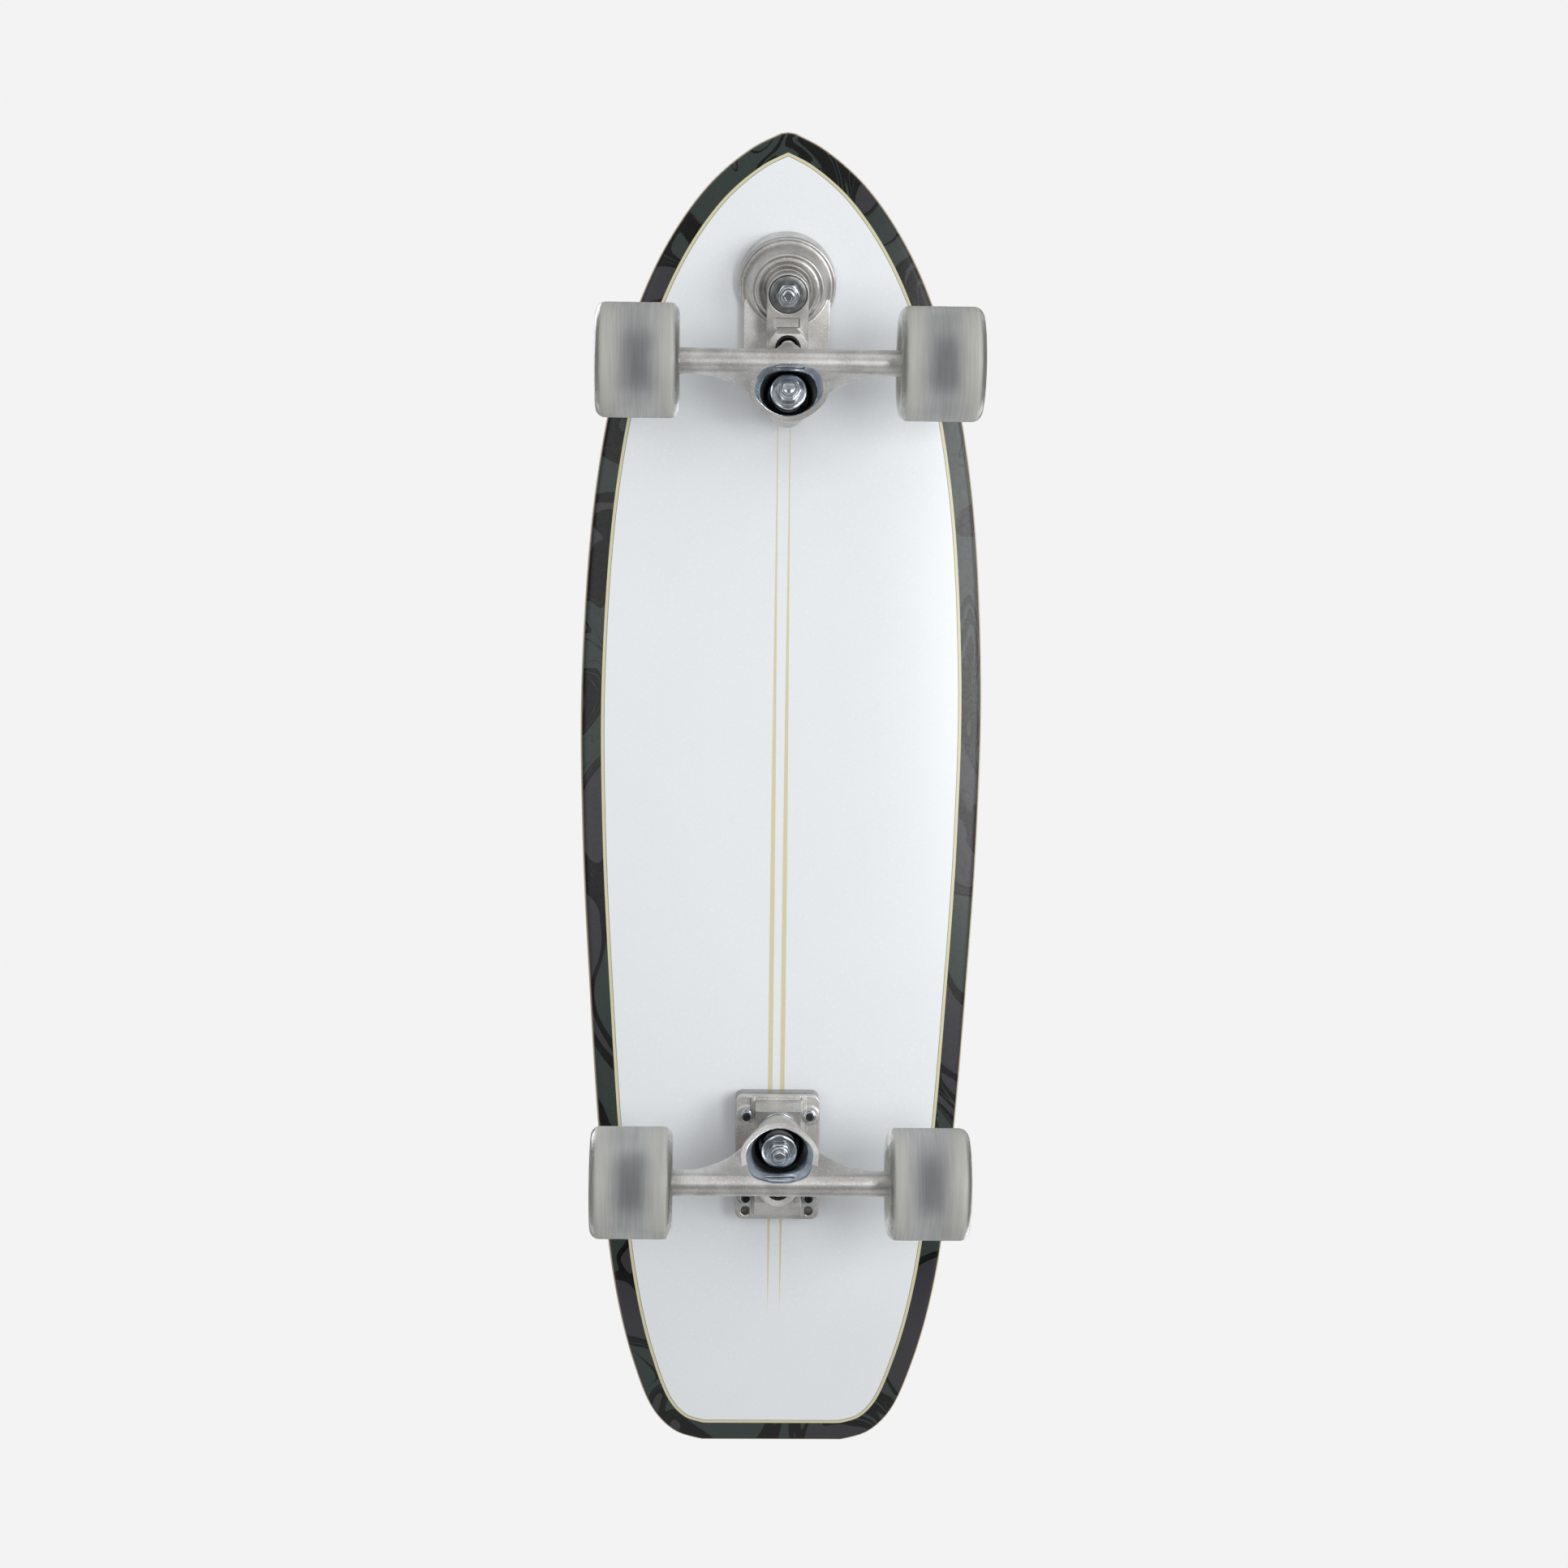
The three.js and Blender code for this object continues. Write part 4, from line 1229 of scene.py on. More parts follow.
def shown(
    piece: Piece,
    body: str,
    finish: Finish | None,
    nodes: Sequence[str],
) -> None:
    """Dresses a finished piece and ties it to the frame.

    Args:
        piece: the mesh object, in place.
        body: the body it moves with.
        finish: its finish, or None where the mesh already carries its own.
        nodes: the CAD nodes it stands for.
    """
    if finish is not None:
        piece.data.materials.clear()
        piece.data.materials.append(finish.material())
    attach(piece, body)
    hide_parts(*nodes)
    LOG.info("%s: %d faces for %s", piece.name, len(piece.data.polygons), ", ".join(nodes))


# Deck and grip


@dataclass
class Deck:
    """The pressed deck with its grip, in millimetres."""

    length: float = 874.0
    width: float = 262.0
    thickness: float = 11.0
    top: float = 125.5
    concave: float = 5.0
    flat: float = 92.0
    nose_rise: float = 3.0
    tail_rise: float = 42.0
    nose_kick: float = -356.5
    tail_kick: float = 269.0
    bend: float = 0.5
    grip_inset: float = 15.5
    grip_gap: float = 0.3
    grip_thickness: float = 1.2
    rail: float = 2.6
    grip_rail: float = 0.25
    nose_spine: float = 95.0
    tail_spine: float = 62.0
    grip_hole: float = 5.1
    hole_low: float = 90.0
    hole_high: float = 150.0
    sides: int = 420
    grip_sides: int = 360
    shares: tuple[Point, ...] = (
        (0, 0.025), (0.012, 0.18), (0.04, 0.395), (0.09, 0.62), (0.16, 0.803), (0.26, 0.935),
        (0.4, 1), (0.52, 0.992), (0.64, 0.95), (0.76, 0.893), (0.86, 0.822), (0.93, 0.724),
        (0.975, 0.613), (0.993, 0.5), (1, 0.37),
    )

    def half_outline(self) -> np.ndarray:
        """Samples the right half of the outline finely.

        Returns:
            Rows of x, y from nose to tail.
        """
        knots = np.array([(w * self.width / 2, (a - 0.5) * self.length) for a, w in self.shares])
        first, last = 2 * knots[0] - knots[1], 2 * knots[-1] - knots[-2]
        chain = np.vstack([first, knots, last])
        line = []
        for p0, p1, p2, p3 in zip(chain, chain[1:], chain[2:], chain[3:]):
            d0, d1, d2 = (math.dist(a, b) ** 0.5 for a, b in ((p0, p1), (p1, p2), (p2, p3)))
            t1 = ((p1 - p0) / d0 - (p2 - p0) / (d0 + d1) + (p2 - p1) / d1) * d1
            t2 = ((p2 - p1) / d1 - (p3 - p1) / (d1 + d2) + (p3 - p2) / d2) * d1
            for t in np.linspace(0, 1, 24, endpoint=False):
                bend = (-3 * p1 + 3 * p2 - 2 * t1 - t2) * t**2
                line.append(p1 + t1 * t + bend + (2 * p1 - 2 * p2 + t1 + t2) * t**3)
        line.append(knots[-1])
        return np.array(line)

    def outline(self, inset: float, sides: int) -> np.ndarray:
        """Returns the closed outline drawn in by an inset, evenly spaced and symmetric.

        Args:
            inset: how far it is drawn in.
            sides: number of points, a multiple of two.

        Returns:
            Rows of x, y from the nose down the right side and back.
        """
        line = self.half_outline()
        line = np.vstack([[0.0, line[0, 1]], line, [0.0, line[-1, 1]]])
        if inset > 0:
            tangent = np.gradient(line, axis=0)
            tangent /= np.linalg.norm(tangent, axis=1)[:, None]
            moved_in = line + inset * np.column_stack([-tangent[:, 1], tangent[:, 0]])
            keep = moved_in[:, 0] > 0.1 * inset
            keep &= moved_in[:, 1] < self.length / 2 - inset + TINY
            line = moved_in[keep]
            tail = [0.0, self.length / 2 - inset]
            line = np.vstack([[0.0, line[0, 1]], line, [line[-1, 0], tail[1]], tail])
        run = np.concatenate([[0], np.cumsum(np.linalg.norm(np.diff(line, axis=0), axis=1))])
        even = np.linspace(0, run[-1], sides // 2 + 1)
        right = np.column_stack([np.interp(even, run, line[:, k]) for k in (0, 1)])
        left = right[-2:0:-1] * (-1, 1)
        return np.vstack([right, left])

    def lift(self, x: np.ndarray, y: np.ndarray) -> np.ndarray:
        """Works out how high the top rises over its flat middle.

        Args:
            x: places across the board.
            y: places along it.

        Returns:
            The rise at each place.
        """
        half = self.length / 2

        def kick(share: np.ndarray) -> np.ndarray:
            """Works out the rise of a kick, bent at first and then straight.

            Args:
                share: places from the start of the kick, as shares of its length.

            Returns:
                The rise at each place, as a share of the kick's.
            """
            bent = share**2 / (self.bend * (2 - self.bend))
            straight = (2 * share - self.bend) / (2 - self.bend)
            return np.where(share <= 0, 0, np.where(share < self.bend, bent, straight))

        nose = self.nose_rise * kick((self.nose_kick - y) / (half + self.nose_kick))
        tail = self.tail_rise * kick((y - self.tail_kick) / (half - self.tail_kick))
        side = np.maximum(0, (np.abs(x) - self.flat / 2) / (self.width / 2 - self.flat / 2))
        return nose + tail + self.concave * side**2

    def plate(self, inset: float, low: float, high: float, rail: float, sides: int) -> Shell:
        """Returns a plate that follows the deck between two heights, with round rails.

        Args:
            inset: how far its outline is drawn in.
            low: its lower face over the deck's top.
            high: its upper face over the deck's top.
            rail: radius of its edges.
            sides: number of points round.

        Returns:
            The closed shell.
        """
        outer = self.outline(inset, sides)
        turn = np.roll(outer, -1, axis=0) - np.roll(outer, 1, axis=0)
        turn /= np.linalg.norm(turn, axis=1)[:, None]
        inward = np.column_stack([-turn[:, 1], turn[:, 0]])
        half = self.length / 2
        span = outer[:, 1] / (half - inset)
        along = np.where(span < 0, span * (half - self.nose_spine), span * (half - self.tail_spine))
        spine = np.column_stack([np.zeros(sides), along])
        sheet = [0, 0.02, 0.045, 0.07, 0.09, 0.11, 0.13, 0.16, 0.2, 0.26, 0.34, 0.44, 0.56, 0.7, 0.85, 1]
        arc = [math.radians(a) for a in (90, 72, 54, 36, 18, 0)]
        rings = []
        start = outer + inward * rail

        def ring(flat: np.ndarray, height: float) -> np.ndarray:
            """Places a ring on the deck's surface.

            Args:
                flat: rows of x, y.
                height: over the surface.

            Returns:
                Rows of x, y, z.
            """
            rise = self.lift(flat[:, 0], flat[:, 1])
            return np.column_stack([flat, self.top + rise + height])

        for share in reversed(sheet):
            rings.append(ring(start + (spine - start) * share, high))
        for angle in arc[1:]:
            flat = outer + inward * rail * (1 - math.cos(angle))
            rings.append(ring(flat, high - rail + rail * math.sin(angle)))
        for angle in reversed(arc):
            flat = outer + inward * rail * (1 - math.cos(angle))
            if angle == arc[0]:
                flat = start
            rings.append(ring(flat, low + rail - rail * math.sin(angle)))
        for share in sheet[1:]:
            rings.append(ring(start + (spine - start) * share, low))
        shell = Shell.lofted(rings)
        shell.faces = shell.faces[:-2]
        return shell

    def welded(self, name: str, shell: Shell) -> Piece:
        """Makes a plate and closes it along its spine.

        Args:
            name: the piece's name.
            shell: the plate's shell.

        Returns:
            The piece.
        """
        piece = shell.made(name)
        step = piece.modifiers.new("weld", "WELD")
        step.merge_threshold = 0.002 * MM
        evaluated(piece)
        return piece

    def bolt_places(self) -> list[Point]:
        """Returns the middle of each bolt hole."""
        return [
            (side * LAYOUT.bolts_across / 2, row + along * LAYOUT.bolts_along / 2)
            for row in (LAYOUT.front_bolts, LAYOUT.rear_bolts)
            for side in (-1, 1)
            for along in (-1, 1)
        ]

    def drilled(self, piece: Piece, radius: float) -> Piece:
        """Bores the eight bolt holes.

        Args:
            piece: the deck or the grip.
            radius: of the holes.

        Returns:
            The piece.
        """
        bar = Shell.disc(radius, self.hole_low, self.hole_high, 40)
        for x, y in self.bolt_places():
            worked(piece, bar.moved(Matrix.Translation((x, y, 0))), Cut.TAKE)
        return piece

    def deck_piece(self) -> None:
        """Makes the deck with printed bottom, ply rails and stained top."""
        shell = self.plate(0.0, -self.thickness, 0.0, self.rail, self.sides)
        piece = self.drilled(self.welded("maple_deck", shell), LAYOUT.bolt_hole)
        mesh = piece.data
        places = vertex_places(mesh)
        rise = places[:, 2] - self.top - self.lift(places[:, 0], places[:, 1])
        level = np.clip(rise / self.thickness + 1, 0, 1)
        keep_fact(mesh, "from_edge", self.from_edge(places[:, :2]))
        keep_fact(mesh, "level", level)
        mesh.materials.clear()
        for finish in (StainedTop(), PlyEdge(), PrintedBottom()):
            mesh.materials.append(finish.material())
        for face in mesh.polygons:
            middle = np.mean([level[i] for i in face.vertices])
            face.material_index = 0 if middle > 0.93 else 2 if middle < 0.05 else 1
        rounded_shading(piece, 60)
        shown(piece, Body.BOARD.value, None, ["deck"])

    def from_edge(self, places: np.ndarray) -> np.ndarray:
        """Works out each place's distance to the outline, seen from above.

        Args:
            places: rows of x, y.

        Returns:
            One distance for each row.
        """
        line = self.outline(0.0, 1600)
        step = np.roll(line, -1, axis=0) - line
        length = (step**2).sum(axis=1)
        best = np.full(len(places), np.inf)
        batch = 2000
        for start in range(0, len(places), batch):
            some = places[start : start + batch, None, :]
            along = ((some - line) * step).sum(axis=2) / length
            near = line + np.clip(along, 0, 1)[..., None] * step
            best[start : start + batch] = np.linalg.norm(some - near, axis=2).min(axis=1)
        return best

    def grip_piece(self) -> None:
        """Makes the grip paper on top."""
        low, high = self.grip_gap, self.grip_gap + self.grip_thickness
        shell = self.plate(self.grip_inset, low, high, self.grip_rail, self.grip_sides)
        piece = self.drilled(self.welded("grip_paper", shell), self.grip_hole)
        rounded_shading(piece, 50)
        shown(piece, Body.BOARD.value, GritPaper(), ["grip_tape"])

    def build(self) -> None:
        """Builds deck and grip."""
        self.deck_piece()
        self.grip_piece()


# Bolts in their patterns


class Pattern:
    """Geometry nodes that set one piece on the four corners of a bolt pattern."""

    def __init__(self) -> None:
        """Builds the tree with named inputs for its sizes."""
        self.tree = bpy.data.node_groups.new("bolt_pattern", "GeometryNodeTree")
        face = self.tree.interface
        face.new_socket("Geometry", in_out="OUTPUT", socket_type="NodeSocketGeometry")
        self.inputs = {
            label: face.new_socket(label, in_out="INPUT", socket_type=kind).identifier
            for label, kind in (
                ("Across", "NodeSocketFloat"),
                ("Along", "NodeSocketFloat"),
                ("Middle", "NodeSocketVector"),
                ("Piece", "NodeSocketObject"),
                ("Finish", "NodeSocketMaterial"),
            )
        }
        tree = Wiring(self.tree)
        given = tree.add("NodeGroupInput").outputs
        grid = tree.add("GeometryNodeMeshGrid", None, Vertices_X=2, Vertices_Y=2)
        tree.feed(grid.inputs["Size X"], given["Across"])
        tree.feed(grid.inputs["Size Y"], given["Along"])
        corners = tree.add("GeometryNodeTransform", None, Geometry=grid.outputs["Mesh"])
        tree.feed(corners.inputs["Translation"], given["Middle"])
        source = tree.add("GeometryNodeObjectInfo", None, Object=given["Piece"])
        put = tree.add("GeometryNodeInstanceOnPoints", None, Points=corners.outputs["Geometry"])
        tree.feed(put.inputs["Instance"], source.outputs["Geometry"])
        real = tree.add("GeometryNodeRealizeInstances", None, Geometry=put.outputs["Instances"])
        dress = tree.add("GeometryNodeSetMaterial", None, Geometry=real.outputs["Geometry"])
        tree.feed(dress.inputs["Material"], given["Finish"])
        tree.add("NodeGroupOutput", None, Geometry=dress.outputs["Geometry"])

    def laid(
        self, name: str, source: Piece, middle: Vector, finish: Finish
    ) -> Piece:
        """Lays a piece out on the pattern.

        Args:
            name: name of the result.
            source: the piece that is repeated, which is used up.
            middle: the pattern's middle, in millimetres.
            finish: its finish.

        Returns:
            One mesh of the four pieces.
        """
        piece = bpy.data.objects.new(name, bpy.data.meshes.new(name))
        bpy.context.scene.collection.objects.link(piece)
        step = piece.modifiers.new("pattern", "NODES")
        step.node_group = self.tree
        step[self.inputs["Across"]] = LAYOUT.bolts_across * MM
        step[self.inputs["Along"]] = LAYOUT.bolts_along * MM
        step[self.inputs["Middle"]] = tuple(middle * MM)
        step[self.inputs["Piece"]] = source
        step[self.inputs["Finish"]] = finish.material()
        evaluated(piece)
        bpy.data.objects.remove(source)
        return rounded_shading(piece, 40)


@dataclass
class DeckBolts:
    """Deck bolts and the lock nuts of the rear ones, in millimetres."""

    head_low: float = 125.8
    head_radius: float = 4.5
    head_height: float = 2.7
    shank: float = 2.4
    thread: float = 14.0
    pitch: float = 0.8
    socket: float = 1.7
    socket_floor: float = 0.9
    front_length: float = 18.3
    rear_length: float = 42.1
    nut_from: float = 92.9
    nut_radius: float = 4.6
    nut_height: float = 5.2
    nut_bore: float = 2.75

    def bolt(self, length: float) -> Piece:
        """Makes one bolt with a domed head and a hexagon socket.

        Args:
            length: of its shank.

        Returns:
            The bolt, its shank down along Z.
        """
        dome = [
            (self.head_radius * math.sin(a), self.head_height * math.cos(a) ** 0.8)
            for a in np.linspace(math.pi / 2, 0.05, 10)
        ]
        low = -length
        thread = threaded(self.shank, low + 0.5, low + self.thread, self.pitch)
        profile = [
            (0, low), (self.shank - 0.5, low), *thread, (self.shank, low + 14.4),
            (self.shank, 0), (self.head_radius, 0), *dome, (0, self.head_height),
        ]
        socket = Shell.disc(self.socket, self.socket_floor, self.head_height + 1.3, 6)
        return fused("bolt", [Shell.turned(profile, 32)], [socket])

    @staticmethod
    def nodes(stem: str) -> list[str]:
        """Returns the names of a pattern's four nodes."""
        return [f"{stem}_{row}_{side}" for row in ("nose", "tail") for side in ("left", "right")]

    def build(self) -> None:
        """Builds both patterns."""
        pattern = Pattern()
        for end, y, length in (
            ("front", LAYOUT.front_bolts, self.front_length),
            ("rear", LAYOUT.rear_bolts, self.rear_length),
        ):
            middle = Vector((0, y, self.head_low))
            piece = pattern.laid(f"{end}_deck_bolts", self.bolt(length), middle, BLACK_STEEL)
            shown(piece, Body.BOARD.value, BLACK_STEEL, self.nodes(f"bolt_{end}"))
        nut = hex_nut("lock_nut", self.nut_radius, self.nut_height, self.nut_bore)
        moved(nut, Matrix.Rotation(math.pi, 4, "X"))
        middle = Vector((0, LAYOUT.rear_bolts, self.nut_from))
        piece = pattern.laid("rear_lock_nuts", nut, middle, ZINC)
        shown(piece, Body.BOARD.value, ZINC, self.nodes("lock_nut_rear"))


def hex_nut(
    name: str, radius: float, height: float, bore: float, collar: float = 0.76, collar_height: float = 1.5
) -> Piece:
    """Makes a hexagon nut from 0 up along Z, with chamfered corners and a locking collar.

    Args:
        name: the piece's name.
        radius: over the corners.
        height: of the hexagon.
        bore: hole radius.
        collar: collar radius as a share of the corner radius.
        collar_height: how far the collar stands out.

    Returns:
        The nut.
    """
    flat = radius * 0.875
    slope = (radius - flat) * 0.55
    over = radius + 0.01
    bevel = [(0, 0), (flat, 0), (over, slope), (over, height - slope), (flat, height), (0, height)]
    piece = worked(Shell.disc(radius, 0, height, 6).made(name), Shell.turned(bevel, 64), Cut.KEEP)
    ring, top, edge = radius * collar, height + collar_height, 0.5
    rolled = [(0, height / 2), (ring, height / 2), (ring, top - edge), (ring - edge, top), (0, top)]
    worked(piece, Shell.turned(rolled, 64), Cut.JOIN)
    mouth, beyond = 0.8, 9
    hole = [(0, -beyond), (bore + mouth, -beyond), (bore + mouth, 0), (bore, mouth), (bore, top + beyond)]
    worked(piece, Shell.turned([*hole, (0, top + beyond)], 64), Cut.TAKE)
    return bevelled(piece, 0.12, 1)


def flat_washer(name: str, bore: float, radius: float, low: float, high: float) -> Piece:
    """Makes a flat washer with rolled edges.

    Args:
        name: the piece's name.
        bore: hole radius.
        radius: outer radius.
        low: where it starts along Z.
        high: where it ends.

    Returns:
        The washer.
    """
    profile = [(bore, low), (radius, low), (radius, high), (bore, high)]
    return bevelled(Shell.turned(profile).made(name), 0.35)


# Wheels


@dataclass
class Wheel:
    """One wheel with core, bearings and axle nut. Its own Z runs out from the inner face."""

    radius: float = LAYOUT.axle_height
    width: float = 52.0
    bore: float = 20.3
    frosted: float = 21.8
    core_inset: float = 4.8
    bearing_width: float = 7.0
    inner_start: float = 14.0
    outer_start: float = 31.0
    nut_start: float = 38.3
    nut_radius: float = 7.4
    nut_height: float = 6.4
    nut_bore: float = 4.15

    def lip(self, flip: bool) -> list[Point]:
        """Draws one rounded lip of the tyre.

        Args:
            flip: whether it is the outer one.

        Returns:
            Its profile, which goes on from the piece before it.
        """
        line = [
            (self.bore, 4.7), (21.6, 3.4), (23.4, 1.9), (25.4, 0.8), (27.6, 0.2), (29.6, 0.0), (31.2, 0.25),
            (32.7, 0.95), (33.9, 2.0), (34.8, 3.2), (35.3, 4.5), (self.radius, 6.0),
        ]
        return [(r, self.width - w) for r, w in reversed(line)] if flip else line

    def tyre(self, name: str) -> Piece:
        """Makes the tyre, with the share of clear lip kept on its mesh.

        Args:
            name: the piece's name.

        Returns:
            The tyre, on its own axis.
        """
        tread = [(self.radius, w) for w in np.linspace(7, self.width - 7, 20)]
        bore = [(self.bore, w) for w in np.linspace(self.width - 6, 6, 8)]
        piece = Shell.turned([*self.lip(False), *tread, *self.lip(True), *bore], 144).made(name)
        from_middle = np.abs(vertex_places(piece.data)[:, 2] - self.width / 2)
        keep_fact(piece.data, "lip", np.clip((from_middle - self.frosted) / 1.5, 0, 1))
        keep_fact(piece.data, "from_middle", from_middle / self.width * 2)
        return rounded_shading(piece, 50)

    def core_piece(self, name: str) -> Piece:
        """Makes the plastic core with its bearing seats.

        Args:
            name: the piece's name.

        Returns:
            The core, on its own axis.
        """
        low, high = self.core_inset, self.width - self.core_inset
        profile = [
            (20.0, low), (20.0, high), (17.8, high), (17.4, high - 5), (13.6, 38.4), (11.15, 38.0),
            (11.15, 31.0), (9.0, 31.0), (9.0, 21.0), (11.15, 21.0), (11.15, 14.0), (13.6, 13.6),
            (17.4, low + 5), (17.8, low),
        ]
        return bevelled(Shell.turned(profile, 96).made(name), 0.3)

    def bearing_piece(self, name: str, flip: bool) -> Piece:
        """Makes one bearing with a dished shield on one side.

        Args:
            name: the piece's name.
            flip: whether the shield is on its inner side.

        Returns:
            The bearing, on its own axis.
        """
        width = self.bearing_width
        shield, dish = width - 0.6, width - 0.75
        profile = [
            (4.15, 0), (6.2, 0), (6.3, 0.5), (8.8, 0.5), (8.9, 0), (10.9, 0), (10.9, width), (8.9, width),
            (8.8, shield), (8.2, dish), (6.9, dish), (6.3, shield), (6.2, width), (4.15, width),
        ]
        if flip:
            profile = [(r, width - h) for r, h in profile]
        return bevelled(Shell.turned(profile, 72).made(name), 0.15)

    def build(self, end: str, side: str, frame: Matrix, hanger: str) -> None:
        """Builds the wheel's pieces.

        Args:
            end: front or rear.
            side: left or right.
            frame: where the wheel's inner face stands.
            hanger: the body that carries the axle.
        """
        name = f"{end}_{side}"
        body = f"{name}_wheel"
        tyre = moved(self.tyre(f"{name}_urethane_tyre"), frame)
        shown(tyre, body, TREAD, [f"{name}_tyre"])
        core = moved(self.core_piece(f"{name}_moulded_core"), frame)
        shown(core, body, CORE, [f"{name}_wheel_core"])
        for place, start in (("inner", self.inner_start), ("outer", self.outer_start)):
            bearing = self.bearing_piece(f"{name}_{place}_ball_bearing", place == "inner")
            moved(bearing, frame @ Matrix.Translation((0, 0, start)))
            shown(bearing, body, BEARING_STEEL, [f"{name}_{place}_bearing"])
        nut = hex_nut(f"{name}_locking_nut", self.nut_radius, self.nut_height, self.nut_bore)
        moved(nut, frame @ Matrix.Translation((0, 0, self.nut_start)))
        shown(nut, hanger, ZINC, [f"{name}_axle_nut"])


# Trucks


@dataclass
class Hanger:
    """The cast hanger, in its truck's own frame: +Y outboard, the axle across."""

    axle: float = LAYOUT.axle_height
    tube: float = 8.2
    shoulder: float = 6.2
    tube_end: float = 76.0
    shoulder_end: float = 81.7
    axle_bore: float = 4.05
    wing_end: float = 62.0
    ring_radius: float = 16.3
    ring_from: float = 16.2
    ring_to: float = 22.2
    bowl_floor: float = 13.5
    ring_bore: float = 8.6
    belly: float = 0.4
    throat: float = 0.8
    wall: float = 3.6
    reach: float = 17.6
    sides: int = 96
    rim: Table = (
        (0, 0.82, 0.79, 0.8), (30, 0.86, 0.84, 0.84), (60, 1.0, 0.95, 0.95),
        (90, 1.22, 1.07, 1.1), (120, 1.21, 1.1, 1.08), (150, 1.0, 1.06, 0.86), (180, 0.92, 1, 0.735),
    )
    wing: Table = (
        (0, 1, 1, 1), (0.13, 0.93, 0.96, 0.98), (0.27, 0.77, 0.86, 0.94), (0.345, 0.565, 0.7, 0.86),
        (0.445, 0.41, 0.54, 0.8), (0.55, 0.29, 0.38, 0.76), (0.74, 0.15, 0.16, 0.8), (1, 0, 0, 1.206),
    )
    neck: Table = (
        (0, 0, 1, 0.75), (0.28, 0.04, 0.82, 0.95), (0.5, 0.26, 0.62, 0.98), (0.68, 0.56, 0.42, 0.72),
        (0.79, 0.78, 0.31, 0.53),
    )

    def kingpin_circle(self, kingpin: Matrix, radius: float, at: float) -> np.ndarray:
        """Draws a circle round the kingpin, starting inboard.

        Args:
            kingpin: the kingpin's frame.
            radius: of the circle.
            at: its place along the kingpin.

        Returns:
            Its points.
        """
        turn = np.linspace(0, 2 * math.pi, self.sides, endpoint=False)
        flat = np.column_stack([radius * np.sin(turn), radius * np.cos(turn), np.full(self.sides, at)])
        table = np.array(kingpin)
        return flat @ table[:3, :3].T + table[:3, 3]

    def rim_height(self, y: np.ndarray) -> np.ndarray:
        """Returns the height of the bowl's tilted rim."""
        return self.axle + 15 - (y + 35.5) / 38.5 * 22.5

    def rim_ring(self, column: int, wall: float) -> np.ndarray:
        """Draws a ring on the plane of the bowl's rim.

        Args:
            column: the column of the rim's table that it is read from.
            wall: how far it lies outside that.

        Returns:
            Its points.
        """
        turn = np.linspace(0, 360, self.sides, endpoint=False)
        folded = np.minimum(turn, 360 - turn)
        radius = self.reach * eased(self.rim, folded)[:, column - 1] + wall
        y = -18 - radius * np.cos(np.radians(turn))
        return np.column_stack([radius * np.sin(np.radians(turn)), y, self.rim_height(y)])

    def hull(self, x: float, first: Place, second: Place) -> np.ndarray:
        """Draws a belt round two circles.

        Args:
            x: the plane they lie in.
            first: y, z and radius of a circle.
            second: y, z and radius of the other.

        Returns:
            The belt's points.
        """
        turn = np.linspace(0, 2 * math.pi, 48, endpoint=False)
        u, v = np.cos(turn), np.sin(turn)
        near, far = ((c[0] + c[2] * u, c[1] + c[2] * v) for c in (first, second))
        out = near[0] * u + near[1] * v > far[0] * u + far[1] * v
        y, z = (np.where(out, near[k], far[k]) for k in (0, 1))
        return np.column_stack([np.full(len(turn), x), y, z])

    def wings(self) -> Shell:
        """Skins tube, shoulders and the webs that sweep into the ring.

        Returns:
            The closed shell.
        """
        tube, shoulder = (0.0, self.axle, self.tube), (0.0, self.axle, self.shoulder)
        shares = np.linspace(0, 1, 34)
        rows = eased(self.wing, shares)
        sections = [
            (share * self.wing_end, tube, (-r[0] * 29.3, self.axle + r[1] * 22.3, r[2] * 6.8))
            for share, r in zip(shares, rows)
        ]
        sections += [(self.tube_end, tube, tube), (self.tube_end + 0.4, shoulder, shoulder)]
        sections += [(self.shoulder_end, shoulder, shoulder)]
        right = [self.hull(x, a, b) for x, a, b in sections]
        left = [self.hull(-x, a, b) for x, a, b in sections[:0:-1]]
        return Shell.lofted([*left, *right])

    def neck_shell(self) -> Shell:
        """Skins the neck that rises from the tube to the pivot.

        Returns:
            The closed shell.
        """
        turn = np.linspace(0, 2 * math.pi, 48, endpoint=False)
        rings = []
        for rise in np.linspace(0, 0.79, 16):
            centre, wide, deep = eased(self.neck, np.array([rise]))[0]
            x = 17 * wide * np.cos(turn)
            y = 12 * centre + 10 * deep * np.sin(turn)
            rings.append(np.column_stack([x, y, np.full(len(turn), self.axle + 42.5 * rise)]))
        return Shell.lofted(rings)

